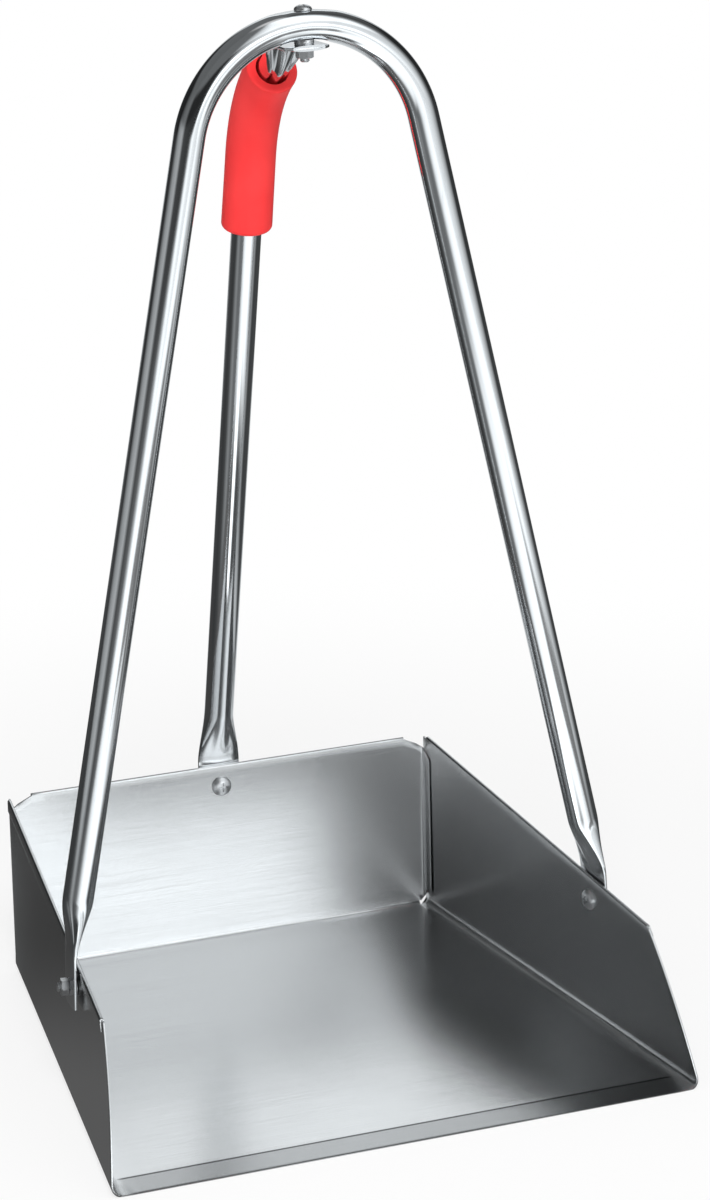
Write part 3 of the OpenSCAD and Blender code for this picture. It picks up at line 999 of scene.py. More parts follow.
    def build(self, material: bpy.types.Material) -> bpy.types.Object:
        """Folds the sheet, gives it its thickness and dresses it.

        Args:
            material: The sheet's finish.

        Returns:
            The finished pan.
        """
        length = self.floor_end - self.layout.lip_y
        crease = self.lip_w / length
        rear = np.linspace(crease, 1.0, self.rows)[1:]
        share = np.concatenate([np.linspace(0.0, crease, self.lip_rows), rear])
        self._floor(share)
        for side in (-1, 1):
            self._side(share, side)
        self._back()
        points = np.concatenate(self.sheet.points)
        piece = mesh_piece("pan_sheet", points, self.sheet.faces, np.concatenate(self.sheet.blank))
        weld(piece.data, outward=False)
        self._thicken(piece)
        hand_over(piece, material, "pan", Body.DUSTPAN)
        return piece

    def _thicken(self, piece: bpy.types.Object) -> None:
        """Adds the sheet's thickness inwards, thinned at the lip, and breaks its edges.

        Args:
            piece: The folded sheet.
        """
        group = piece.vertex_groups.new(name="thickness")
        limit = float(self.flat_half(np.array(0.0)))
        for vertex in piece.data.vertices:
            x, y, z = (value / MM for value in vertex.co)
            part = (y - self.layout.lip_y) / self.lip_w
            on_lip = z < 0.01 and part < 1.0 and abs(x) < limit + 1
            share = self.lip_t + (1.0 - self.lip_t) * max(part, 0.0) if on_lip else 1.0
            ahead = float(self.back_plane(np.array(z))) - y
            if abs(abs(x) - self.flange_face) < 0.02 and self.corner_r < ahead < self.flange_l + 0.1:
                share = 1.0 - self.flange_thin * (ahead - self.corner_r) / (self.flange_l - self.corner_r)
            group.add([vertex.index], share, "REPLACE")
        solidify = piece.modifiers.new("thickness", "SOLIDIFY")
        solidify.thickness = self.layout.sheet_t * MM
        solidify.offset = -1.0
        solidify.use_even_offset = True
        solidify.vertex_group = group.name
        bevel = piece.modifiers.new("broken_edges", "BEVEL")
        bevel.width = self.edge_break * MM
        bevel.segments = 2
        bevel.limit_method = "ANGLE"
        bevel.angle_limit = math.radians(self.edge_angle)
        piece.data = take_mesh(piece)
        piece.vertex_groups.clear()
        weld(piece.data, outward=False, sharp=40.0)


def rounded_path(corners: Sequence[np.ndarray], radii: Sequence[float], step: float) -> np.ndarray:
    """Runs a path through corners with a round bend at each inner one.

    Args:
        corners: Corner points.
        radii: Bend radius at each inner corner.
        step: Spacing of the path's points.

    Returns:
        Points along the path.
    """
    points = [np.asarray(corner, float) for corner in corners]
    path = [points[0]]
    for before, corner, after, radius in zip(points, points[1:], points[2:], radii):
        to_before, to_after = unit(before - corner), unit(after - corner)
        half = math.acos(max(-1.0, min(1.0, float(to_before @ to_after)))) / 2
        setback = min(radius / math.tan(half), 0.48 * np.linalg.norm(before - corner),
                      0.48 * np.linalg.norm(after - corner))
        radius = setback * math.tan(half)
        middle = corner + unit(to_before + to_after) * radius / math.sin(half)
        start, end = corner + setback * to_before, corner + setback * to_after
        path.extend(straight(path[-1], start, step))
        sweep = math.pi - 2 * half
        first = unit(start - middle)
        second = unit(np.cross(np.cross(first, end - middle), first))
        for angle in np.linspace(0.0, sweep, max(3, int(radius * sweep / step) + 2))[1:]:
            path.append(middle + radius * (first * math.cos(angle) + second * math.sin(angle)))
    path.extend(straight(path[-1], points[-1], step))
    return np.array(path)


def straight(start: np.ndarray, end: np.ndarray, step: float) -> list[np.ndarray]:
    """Points of a straight run after its start."""
    count = max(1, int(round(np.linalg.norm(end - start) / step)))
    return [start + (end - start) * index / count for index in range(1, count + 1)]


def run_length(path: np.ndarray) -> np.ndarray:
    """Distance along a path at each of its points."""
    return np.concatenate([[0.0], np.cumsum(np.linalg.norm(np.diff(path, axis=0), axis=1))])


@dataclass
class SweptTube:
    """Round tube along a path, pressed flat where it is bolted."""

    layout: Layout
    segments: int = 48
    slit_deep: float = 1.5
    slit_w: float = 0.35
    flat_spread: float = 1.15
    furrow_at: float = 0.42
    furrow_w: float = 0.17
    furrow_deep: float = 0.5
    plate_over: float = 4.0
    blend_over: float = 2.0
    step: float = 2.0

    def pressed(self, run: np.ndarray, plate: float) -> tuple[np.ndarray, np.ndarray]:
        """Flattening of a foot and the depth of the furrows above it.

        Args:
            run: Distance from the foot's end.
            plate: Length of the foot's flat plate.

        Returns:
            1 on the plate and 0 where the tube is round, and the furrows' depth.
        """
        flat = 1.0 - smooth((run - plate + self.plate_over) / (self.layout.foot_blend + self.blend_over))
        return flat, self.furrow_deep * 4.0 * flat * (1.0 - flat)

    def section(self, flat: np.ndarray, width: np.ndarray, thick: np.ndarray,
                dent: np.ndarray) -> tuple[np.ndarray, np.ndarray]:
        """Outlines between a circle and a flattened tube.

        Args:
            flat: 0 where the tube is round and 1 where it is pressed flat.
            width: Width of the flattened tube.
            thick: Thickness of the flattened tube.
            dent: Depth of the two furrows along both faces.

        Returns:
            Offsets along the width and along the thickness, stations by segments.
        """
        angle = np.linspace(0.0, 2 * math.pi, self.segments, endpoint=False)
        radius = self.layout.tube_d / 2
        flat, width, thick, dent = (np.asarray(part)[:, None] for part in (flat, width, thick, dent))
        spread = np.clip(self.flat_spread * np.cos(angle), -1.0, 1.0)
        wide = (width - thick) / 2 * spread + thick / 2 * np.cos(angle)
        high = thick / 2 * np.sin(angle)
        off_furrow = (np.abs(np.cos(angle)) - self.furrow_at) / self.furrow_w
        furrow = dent * np.exp(-off_furrow ** 2) * np.sin(angle)
        across = radius * np.cos(angle) * (1 - flat) + wide * flat
        through = radius * np.sin(angle) * (1 - flat) + high * flat - furrow
        return across, through

    def sweep(self, name: str, path: np.ndarray, width_axis: np.ndarray,
              outline: tuple[np.ndarray, np.ndarray]) -> bpy.types.Object:
        """Sweeps outlines along a path and closes both ends with the slit of a pressed tube.

        Args:
            name: The piece's name.
            path: Points along the tube.
            width_axis: Direction of the flattened width at each point.
            outline: Offsets along the width and the thickness at each point.

        Returns:
            The tube's object.
        """
        along = unit(np.gradient(path, axis=0))
        wide = unit(width_axis - along * np.sum(width_axis * along, axis=1, keepdims=True))
        through = np.cross(along, wide)
        offsets = (axis[:, None] * part[..., None] for axis, part in zip((wide, through), outline))
        rings = path[:, None] + sum(offsets)
        rings = [*self._slit(rings[0], path[0], wide[0], through[0], along[0])[::-1], *rings,
                 *self._slit(rings[-1], path[-1], wide[-1], through[-1], -along[-1])]
        count = self.segments
        faces = ring_faces(len(rings), count)
        last = (len(rings) - 1) * count
        faces.append(tuple(range(count))[::-1])
        faces.append(tuple(range(last, last + count)))
        piece = mesh_piece(name, np.concatenate(rings), faces)
        weld(piece.data, outward=True, sharp=38.0)
        return piece

    def _slit(self, ring: np.ndarray, middle: np.ndarray, wide: np.ndarray, through: np.ndarray,
              inward: np.ndarray) -> list[np.ndarray]:
        """Rings from a tube's cut end into the slit between its pressed walls.

        Args:
            ring: Points of the cut end.
            middle: The end's middle.
            wide: Direction of its width.
            through: Direction of its thickness.
            inward: Direction into the tube.

        Returns:
            The slit's mouth and its bottom.
        """
        offset = ring - middle
        across, thick = offset @ wide, offset @ through
        reach = np.abs(across).max()
        half = np.abs(thick).max()
        slit_x = across * (reach - half) / reach
        slit_t = thick * (self.slit_w / 2) / half
        mouth = middle + slit_x[:, None] * wide + slit_t[:, None] * through
        return [mouth, mouth + inward * self.slit_deep]


@dataclass
class Hoop(SweptTube):
    """Two legs and an arch from one tube, with flat feet outside the side walls."""

    press: float = 0.8
    press_l: float = 9.0
    press_blend: float = 9.0
    press_spread: float = 0.03
    knee_r: float = 45.0
    twist_start: float = 30.0
    twist_l: float = 60.0
    arch_steps: int = 60

    def build(self, material: bpy.types.Material) -> bpy.types.Object:
        """Bends and presses the tube.

        Args:
            material: The tube's finish.

        Returns:
            The finished hoop.
        """
        layout = self.layout
        path, width_axis = self._right_half()
        mirror = np.array([-1.0, 1.0, 1.0])
        path = np.concatenate([(path * mirror)[:0:-1], path])
        width_axis = np.concatenate([(width_axis * mirror)[:0:-1], width_axis])
        run = run_length(path)
        flat, dent = self.pressed(np.minimum(run, run[-1] - run), layout.foot_down + layout.hoop_foot_up)
        size = np.ones_like(run)
        across, through = self.section(flat, layout.foot_w * size, layout.foot_t * size, dent)
        near = 1.0 - smooth((np.abs(run - run[-1] / 2) - self.press_l) / self.press_blend)
        limit = (layout.tube_d / 2 - self.press * near)[:, None]
        through = np.clip(through, -limit, limit)
        across = across * (1.0 + self.press_spread * near[:, None])
        piece = self.sweep("hoop_tube", path, width_axis, (across, through))
        hand_over(piece, material, "hoop", Body.DUSTPAN)
        return piece

    def _right_half(self) -> tuple[np.ndarray, np.ndarray]:
        """Path from the apex to the end of the right foot.

        Returns:
            The path's points and the direction of the width at each.
        """
        layout = self.layout
        start = layout.hoop_start
        arch_z = layout.hoop_rise - layout.arch_r
        reach = math.hypot(start[0], arch_z)
        lean = math.atan2(start[0], arch_z) - math.asin(layout.arch_r / reach)
        angles = np.linspace(math.pi / 2, lean, self.arch_steps)
        arch = np.array([layout.in_hoop((layout.arch_r * math.cos(angle), 0.0,
                                         arch_z + layout.arch_r * math.sin(angle))) for angle in angles])
        drop = layout.top_axes @ np.array([0.0, 0.0, -layout.foot_down])
        foot_end = layout.at_side_screw(np.array([layout.foot_mid, 0.0, 0.0]) + drop)
        leg = rounded_path([arch[-1], start, foot_end], [self.knee_r], self.step)
        path = np.concatenate([arch, leg[1:]])
        foot_axis = layout.side_axes @ (layout.top_axes @ np.array([0.0, 1.0, 0.0]))
        arch_axis = layout.top_axes @ np.array([0.0, 1.0, 0.0])
        far = np.linalg.norm(path - foot_end, axis=1)
        share = smooth((far - self.twist_start) / self.twist_l)[:, None]
        return path, unit(foot_axis * (1 - share) + arch_axis * share)


@dataclass
class RearHandle(SweptTube):
    """Rear tube: foot on the back wall, straight, bend, ridged neck and flat tab under the arch."""

    bend_r: float = 82.0
    neck_slope: float = 36.0
    neck_l: float = 31.0
    tab_front: float = 7.0
    tab_back: float = 19.0
    tab_bevel: float = 3.5
    tab_bend_r: float = 14.0
    tab_step: float = 0.7
    tab_ease: float = 2.0
    ridge_h: float = 1.9
    ridge_early: float = 6.0
    ridge_in: float = 10.0
    ridge_out: float = 8.0
    plate_over: float = 3.0
    foot_bend_r: float = 30.0
    foot_bend_l: float = 26.0

    @property
    def tab_mid(self) -> float:
        """Middle of the tab's thickness below the arch's middle."""
        return self.layout.tab_top - self.layout.foot_t / 2

    @property
    def neck_end(self) -> np.ndarray:
        """Place where the neck meets the tab."""
        return self.layout.at_apex((0.0, self.tab_back, self.tab_mid))

    @property
    def neck_start(self) -> np.ndarray:
        """Place where the bend ends and the neck starts."""
        slope = math.radians(self.neck_slope)
        return self.neck_end - self.neck_l * np.array([0.0, -math.cos(slope), math.sin(slope)])

    def bend(self) -> tuple[np.ndarray, np.ndarray, float]:
        """Works out the bend over the straight tube.

        Returns:
            The bend's middle, the start of the straight tube and its lean in radians.
        """
        layout = self.layout
        slope = math.radians(self.neck_slope)
        start = layout.at_rear_screw((layout.foot_mid + layout.rear_step, 0.0, layout.rear_foot_up))
        middle = self.neck_start - self.bend_r * np.array([0.0, math.sin(slope), math.cos(slope)])
        away = (start[1] - middle[1], middle[2] - start[2])
        angle = math.atan2(*away) - math.asin(self.bend_r / math.hypot(*away))
        return middle, start, angle

    def bend_points(self, count: int) -> np.ndarray:
        """Points around the bend, from the straight tube to the neck.

        Args:
            count: How many points there are.

        Returns:
            The points in order.
        """
        middle, _, angle = self.bend()
        turns = np.linspace(angle, math.pi / 2 - math.radians(self.neck_slope), count)
        return middle + self.bend_r * np.stack([0 * turns, np.cos(turns), np.sin(turns)], axis=1)

    def build(self, material: bpy.types.Material) -> bpy.types.Object:
        """Bends and presses the tube.

        Args:
            material: The tube's finish.

        Returns:
            The finished rear handle.
        """
        layout = self.layout
        _, start, angle = self.bend()
        up = np.array([0.0, -math.sin(angle), math.cos(angle)])
        foot_end = layout.at_rear_screw((layout.foot_mid, 0.0, -layout.foot_down))
        foot_top = layout.at_rear_screw((layout.foot_mid, 0.0, layout.rear_foot_up))
        bend = self.bend_points(50)
        lower = rounded_path([foot_end, foot_top, start + self.foot_bend_l * up, bend[0]],
                             [self.foot_bend_r] * 2, self.step)
        tab_end = layout.at_apex((0.0, -self.tab_front, self.tab_mid))
        upper = rounded_path([bend[-1], self.neck_end, tab_end], [self.tab_bend_r], self.tab_step)
        path = np.concatenate([lower, bend[1:], upper[1:]])
        run = run_length(path)
        left = run[-1] - run
        neck = left - self.tab_front - self.tab_back
        foot_flat, dent = self.pressed(run, layout.foot_down + layout.rear_foot_up)
        tab_flat = 1.0 - smooth((neck + self.tab_ease) / (self.neck_l - 2 * self.tab_ease))
        ridged = smooth((neck + self.ridge_early) / self.ridge_in)
        ridged = ridged * (1.0 - smooth((neck - self.neck_l) / self.ridge_out))
        trim = np.clip(self.tab_bevel - left, 0.0, self.tab_bevel)
        flat, thick = np.maximum(foot_flat, tab_flat), np.full_like(run, layout.foot_t)
        outline = self.section(flat, layout.foot_w - 2 * trim, thick, dent + self.ridge_h * ridged)
        axis = np.repeat([[1.0, 0.0, 0.0]], len(path), axis=0)
        piece = self.sweep("rear_tube", path, axis, outline)
        hand_over(piece, material, "rear_handle", Body.DUSTPAN)
        return piece


class RuleTree:
    """Geometry tree that turns a grid into a body by a rule, and sets it in its place."""

    def __init__(self, name: str, sizes: Sequence[str], placed: bool = True) -> None:
        """Makes the tree and its named inputs.

        Args:
            name: The tree's name.
            sizes: Names of the size inputs.
            placed: Whether the tree also takes a place and a turn.
        """
        inputs = {size: "NodeSocketFloat" for size in sizes}
        if placed:
            inputs.update({"Place": "NodeSocketVector", "Turn": "NodeSocketVector"})
        inputs["Finish"] = "NodeSocketMaterial"
        self.tree = bpy.data.node_groups.new(name, "GeometryNodeTree")
        self.tree.is_modifier = True
        self.tree.interface.new_socket("Geometry", in_out="OUTPUT", socket_type="NodeSocketGeometry")
        self.tree.interface.new_socket("Geometry", in_out="INPUT", socket_type="NodeSocketGeometry")
        self.keys: dict[str, str] = {}
        for label, kind in inputs.items():
            socket = self.tree.interface.new_socket(label, in_out="INPUT", socket_type=kind)
            self.keys[label] = socket.identifier
        self.graph = Graph(self.tree)
        self.group = self.tree.nodes.new("NodeGroupInput")

    def input(self, label: str) -> Sock:
        """One of the tree's named inputs."""
        return Sock(self.graph, self.group.outputs[label])

    def grid(self, around: int, rows: int) -> tuple[Sock, Sock, Sock]:
        """Adds a unit grid.

        Args:
            around: Steps around the body.
            rows: Points of the body's section.

        Returns:
            The grid, the angle around in radians and the share along the section.
        """
        values = {"Size X": 1.0, "Size Y": 1.0, "Vertices X": around + 1, "Vertices Y": rows}
        mesh = self.graph.node("GeometryNodeMeshGrid", {}, values)
        place = self.graph.node("GeometryNodeInputPosition")
        across, along = (self.graph.part(place, axis) for axis in "XY")
        return mesh, (across + 0.5) * (2 * math.pi), along + 0.5

    def profile(self, share: Sock, steps: Sequence[float]) -> Sock:
        """Looks up a section's value, one for each row of the grid.

        Args:
            share: Share along the section.
            steps: Value of each row.

        Returns:
            The value's socket.
        """
        last = len(steps) - 1
        low, high = min(steps), max(steps)
        span = (high - low) or 1.0
        curve = [(index / last, (value - low) / span) for index, value in enumerate(steps)]
        found = self.graph.node("ShaderNodeFloatCurve", {"curve": curve}, {"Factor": 1.0, "Value": share})
        return found * span + low

    def lathe(self, mesh: Sock, angle: Sock, radius: Sock, height: Sock) -> Sock:
        """Wraps a grid around the Z axis and welds its seam."""
        values = {0: radius * angle.math("COSINE"), 1: radius * angle.math("SINE"), 2: height}
        return self.placed(mesh, self.graph.node("ShaderNodeCombineXYZ", {}, values))

    def placed(self, mesh: Sock, place: Sock) -> Sock:
        """Moves a grid's points and welds its seams.

        Args:
            mesh: The grid.
            place: New place of each point.

        Returns:
            The welded mesh.
        """
        moved = self.graph.node("GeometryNodeSetPosition", {}, {"Geometry": mesh, "Position": place})
        values = {"Geometry": moved, "Distance": 2 * WELD_GAP}
        return self.graph.node("GeometryNodeMergeByDistance", {}, values)

    def end(self, mesh: Sock) -> None:
        """Ends the tree with one instance at its place, realized and with its finish.

        Args:
            mesh: The body.
        """
        point = self.graph.node("GeometryNodePoints", {}, {"Count": 1, "Position": self.input("Place")})
        values = {"Points": point, "Instance": mesh, "Rotation": self.input("Turn")}
        self.finish(self.graph.node("GeometryNodeInstanceOnPoints", {}, values))

    def finish(self, geometry: Sock) -> None:
        """Realizes instances, sets the finish and closes the tree.

        Args:
            geometry: The tree's result.
        """
        solid = self.graph.node("GeometryNodeRealizeInstances", {}, {"Geometry": geometry})
        values = {"Geometry": solid, "Material": self.input("Finish")}
        dressed = self.graph.node("GeometryNodeSetMaterial", {}, values)
        self.graph.node("NodeGroupOutput", {}, {0: dressed})

    def make(self, name: str, data: bpy.types.ID, values: dict) -> bpy.types.Object:
        """Runs the tree on a new object and keeps the result as a plain mesh.

        Args:
            name: The piece's name.
            data: The object's starting data.
            values: Input name to value.

        Returns:
            The finished object.
        """
        source = add_object(name + "_rule", data)
        modifier = source.modifiers.new("rule", "NODES")
        modifier.node_group = self.tree
        for label, value in values.items():
            modifier[self.keys[label]] = value
        mesh = take_mesh(source)
        bpy.data.objects.remove(source)
        mesh.name = name
        weld(mesh, outward=True, sharp=34.0)
        return add_object(name, mesh)


@dataclass
class GripSleeve:
    """Soft sleeve over the rear tube's bend, with rounded rims and a wider mouth at the neck."""

    handle: RearHandle
    outer_r: float = 13.4
    bore_r: float = 8.25
    mouth_r: float = 9.0
    mouth_rim_r: float = 1.5
    rim_r: float = 2.6
    straight_l: float = 41.0
    mouth_deep: float = 9.0
    bore_edge: float = 0.6
    waist: float = 0.25

    def path(self) -> np.ndarray:
        """Path of the sleeve's middle, from its lower rim to its mouth.

        Returns:
            Points in millimetres.
        """
        bend = self.handle.bend_points(40)
        _, _, angle = self.handle.bend()
        down = np.array([0.0, math.sin(angle), -math.cos(angle)])
        run = [bend[0] + down * self.straight_l * (1 - share) for share in np.linspace(0.0, 1.0, 24)]
        return np.concatenate([np.array(run), bend[1:]])

    def rows(self, length: float) -> tuple[list[float], list[float]]:
        """Section of the sleeve as places along it and radii.

        Args:
            length: Length of the sleeve.

        Returns:
            Shares of the length and radii, from the bore's lower end round the outside and back.
        """
        places, radii = [self.bore_edge, 0.1], [self.bore_r, self.bore_r + 0.5]
        for angle in np.linspace(0.0, math.pi / 2, 8):
            places.append(self.rim_r * (1 - math.cos(angle)))
            radii.append(self.outer_r - self.rim_r * (1 - math.sin(angle)))
        for share in np.linspace(0.0, 1.0, 44)[1:-1]:
            places.append(self.rim_r + (length - 2 * self.rim_r) * share)
            radii.append(self.outer_r - self.waist * math.sin(math.pi * share))
        for angle in np.linspace(0.0, math.pi / 2, 8):
            places.append(length - self.mouth_rim_r * (1 - math.sin(angle)))
            radii.append(self.outer_r - self.mouth_rim_r * (1 - math.cos(angle)))
        for radius in np.linspace(self.outer_r - self.mouth_rim_r, self.mouth_r, 6)[1:]:
            places.append(length)
            radii.append(radius)
        places += [length - 0.4, length - 1.0, length - self.mouth_deep * 0.5, length - self.mouth_deep]
        radii += [self.mouth_r - 0.3, self.mouth_r - 0.45, self.bore_r, self.bore_r]
        for share in np.linspace(1.0, 0.0, 30)[1:]:
            places.append(self.bore_edge + (length - self.mouth_deep - self.bore_edge) * share)
            radii.append(self.bore_r)
        return [place / length for place in places], radii

    def build(self, material: bpy.types.Material) -> bpy.types.Object:
        """Wraps the sleeve's section along the tube's path.

        Args:
            material: The sleeve's finish.

        Returns:
            The finished sleeve.
        """
        path = self.path() * MM
        length = float(run_length(path)[-1]) / MM
        places, radii = self.rows(length)
        rule = RuleTree("sleeve_rule", ("Outer Radius",), placed=False)
        graph = rule.graph
        mesh, angle, share = rule.grid(72, len(places))
        radius = rule.profile(share, [value / self.outer_r for value in radii]) * rule.input("Outer Radius")
        values = {"Curves": rule.input("Geometry"), "Factor": rule.profile(share, places)}
        settings = {"mode": "FACTOR", "data_type": "FLOAT"}
        middle = graph.node("GeometryNodeSampleCurve", settings, values, "Position")
        sample = middle.socket.node
        across, along = (Sock(graph, sample.outputs[label]) for label in ("Normal", "Tangent"))
        first = graph.scaled(across, radius * angle.math("COSINE"))
        aside = graph.vector_math("CROSS_PRODUCT", along, across)
        second = graph.scaled(aside, radius * angle.math("SINE"))
        out = graph.vector_math("ADD", first, second)
        rule.finish(rule.placed(mesh, graph.vector_math("ADD", middle, out)))
        curve = bpy.data.curves.new("sleeve_path", "CURVE")
        curve.dimensions = "3D"
        spline = curve.splines.new("POLY")
        spline.points.add(len(path) - 1)
        for point, spot in zip(spline.points, path):
            point.co = (*spot, 1.0)
        piece = rule.make("grip_sleeve", curve, {"Outer Radius": self.outer_r * MM, "Finish": material})
        hand_over(piece, material, "grip", Body.DUSTPAN)
        return piece


class Joint(Enum):
    """Bolted joints of the handle."""

    LEFT = "left"
    RIGHT = "right"
    REAR = "rear"
    TOP = "top"


@dataclass(frozen=True)
class Station:
    """Place of one bolted joint: the wall's outer face or the arch's seat, and the screw's frame."""

    joint: Joint
    node: str
    origin: np.ndarray
    axes: np.ndarray
    nut_body: Body


@dataclass
class Fasteners:
    """Cross-head screws, spacing washers and hex nuts of the four bolted joints."""

    layout: Layout
    finish: bpy.types.Material
    head_d: float = 11.4
    head_h: float = 3.0
    bolt_head_d: float = 9.2
    bolt_head_h: float = 2.8
    screw_d: float = 5.0
    washer_d: float = 10.0
    hole_d: float = 5.5
    nut_af: float = 8.0
    nut_hole_d: float = 5.1
    nut_face: float = 0.975
    nut_chamfer: float = 30.0
    nut_sink: float = 0.35
    pitch: float = 0.8
    thread_deep: float = 0.35
    recess_l: float = 5.0
    recess_w: float = 1.1
    recess_deep: float = 1.5

    def screw_rule(self) -> RuleTree:
        """Domed head with a cross recess over a threaded shank that runs along +Z.

        Returns:
            The screw's tree.
        """
        rule = RuleTree("screw_rule", ("Head Diameter", "Head Height", "Shank Diameter", "Length", "Pitch",
                                       "Thread Depth", "Recess Length", "Recess Width", "Recess Depth"))
        radii, heights = [0.0], [-1.0]
        for angle in np.linspace(0.1, 1.0, 10):
            radii.append(math.sin(angle * math.pi / 2) ** 0.92)
            heights.append(-0.1 - 0.9 * math.cos(angle * math.pi / 2))
        radii += [0.985, 0.93, 0.0]
        heights += [-0.03, 0.0, 0.0]
        mesh, angle, share = rule.grid(48, len(radii))
        head = rule.lathe(mesh, angle, rule.profile(share, radii) * rule.input("Head Diameter") * 0.5,
                          rule.profile(share, heights) * rule.input("Head Height"))
        shank = self._shank(rule)
        settings = {"operation": "DIFFERENCE", "solver": "EXACT"}
        for across in (False, True):
            values = {"Mesh 1": head, "Mesh 2": self._recess_bar(rule, across)}
            head = rule.graph.node("GeometryNodeMeshBoolean", settings, values)
        settings = {"operation": "UNION", "solver": "EXACT"}
        joined = rule.graph.node("GeometryNodeMeshBoolean", settings, {"Mesh 2": head})
        rule.tree.links.new(shank.socket, joined.socket.node.inputs["Mesh 2"])
        rule.end(joined)
        return rule

    @staticmethod
    def _shank(rule: RuleTree) -> Sock:
        """Threaded shank with a chamfered tip, starting a little inside the head.

        Args:
            rule: The screw's tree.

        Returns:
            The shank's mesh.
        """
        rows = 70
        sunk = 0.4 * MM
        body = [0.0] + [1.0] * (rows - 4) + [0.9, 0.72, 0.0]
        along = [0.0, 0.0] + list(np.linspace(0.0, 1.0, rows - 3)[1:]) + [1.0]
        mesh, angle, share = rule.grid(36, rows)
        height = rule.profile(share, along) * (rule.input("Length") + sunk) - sunk
        turns = height / rule.input("Pitch") - angle / (2 * math.pi)
        wave = turns.math("PINGPONG", 0.5) * 2.0
        radius = rule.input("Shank Diameter") * 0.5 - rule.input("Thread Depth") * wave
        return rule.lathe(mesh, angle, radius * rule.profile(share, body), height)

    @staticmethod
    def _recess_bar(rule: RuleTree, across: bool) -> Sock:
        """One bar of the cross recess, along X or across it.

        Args:
            rule: The screw's tree.
            across: Whether the bar runs across X.

        Returns:
            The bar's mesh.
        """
        graph = rule.graph
        length, width = rule.input("Recess Length"), rule.input("Recess Width")
        first, second = (width, length) if across else (length, width)
        deep = rule.input("Recess Depth") * 2.0
        size = graph.node("ShaderNodeCombineXYZ", {}, {0: first, 1: second, 2: deep})
        bar = graph.node("GeometryNodeMeshCube", {}, {"Size": size})
        drop = graph.node("ShaderNodeCombineXYZ", {}, {2: rule.input("Head Height") * -1.0})
        return graph.node("GeometryNodeTransform", {}, {"Geometry": bar, "Translation": drop})

    def washer_rule(self) -> RuleTree:
        """Flat ring with broken edges, standing on z = 0.

        Returns:
            The washer's tree.
        """
        rule = RuleTree("washer_rule", ("Outer Diameter", "Hole Diameter", "Thickness"))
        outer = [0.0, 0.97, 1.0, 1.0, 0.97, 0.0, 0.0, 0.0]
        inner = [1.0, 0.0, 0.0, 0.0, 0.0, 1.0, 1.0, 1.0]
        rise = [0.0, 0.0, 0.12, 0.88, 1.0, 1.0, 0.5, 0.0]
        mesh, angle, share = rule.grid(48, len(outer))
        radius = (rule.profile(share, outer) * rule.input("Outer Diameter")
                  + rule.profile(share, inner) * rule.input("Hole Diameter")) * 0.5
        rule.end(rule.lathe(mesh, angle, radius, rule.profile(share, rise) * rule.input("Thickness")))
        return rule

    def nut_rule(self) -> RuleTree:
        """Hex nut with chamfered corners and a countersunk hole, standing on z = 0.

        Returns:
            The nut's tree.
        """
        rule = RuleTree("nut_rule", ("Across Flats", "Hole Diameter", "Thickness"))
        mesh, angle, share = rule.grid(72, 9)
        sixth = math.pi / 3
        off_flat = (angle + sixth / 2).math("MODULO", sixth) - sixth / 2
        flat = rule.input("Across Flats") * 0.5
        hexagon = flat / off_flat.math("COSINE")
        face = flat * self.nut_face
        limit = hexagon.math("MINIMUM", face)
        chamfer = (hexagon - face).math("MAXIMUM", 0.0) * math.tan(math.radians(self.nut_chamfer))
        on_hole = rule.profile(share, [1.0, 0.0, 0.0, 0.0, 0.0, 1.0, 1.0, 1.0, 1.0])
        on_face = rule.profile(share, [0.0, 1.0, 0.0, 0.0, 1.0, 0.0, 0.0, 0.0, 0.0])
        on_side = rule.profile(share, [0.0, 0.0, 1.0, 1.0, 0.0, 0.0, 0.0, 0.0, 0.0])
        sink = rule.profile(share, [1.0, 0.0, 0.0, 0.0, 0.0, 1.0, 0.0, 0.0, 1.0])
        hole = rule.input("Hole Diameter") * 0.5 + sink * (self.nut_sink * MM)
        radius = on_hole * hole + on_face * limit + on_side * hexagon
        rise = rule.profile(share, [0.0, 0.0, 0.0, 1.0, 1.0, 1.0, 0.91, 0.09, 0.0])
        slope = rule.profile(share, [0.0, 0.0, 1.0, -1.0, 0.0, 0.0, 0.0, 0.0, 0.0])
        rule.end(rule.lathe(mesh, angle, radius, rise * rule.input("Thickness") + slope * chamfer))
        return rule

    def stations(self) -> list[Station]:
        """Frames of the four joints, each with z along its screw.

        Returns:
            The joints at the left, right, rear and top.
        """
        layout = self.layout
        lay = turn("Y", 90.0)
        mirror = np.diag([-1.0, 1.0, 1.0])
        left = mirror @ layout.side_axes @ mirror @ turn("Z", 180.0)
        side = layout.at_side_screw((0.0, 0.0, 0.0))
        return [
            Station(Joint.LEFT, "left_screw", side * (-1.0, 1.0, 1.0), left @ lay, Body.LEFT_NUT),
            Station(Joint.RIGHT, "right_screw", side, layout.side_axes @ lay, Body.RIGHT_NUT),
            Station(Joint.REAR, "rear_screw", layout.at_rear_screw((0.0, 0.0, 0.0)), layout.rear_axes @ lay,
                    Body.REAR_NUT),
            Station(Joint.TOP, "top_bolt", layout.at_apex((0.0, 0.0, layout.seat_h)),
                    layout.top_axes @ turn("X", 180.0), Body.TOP_NUT),
        ]

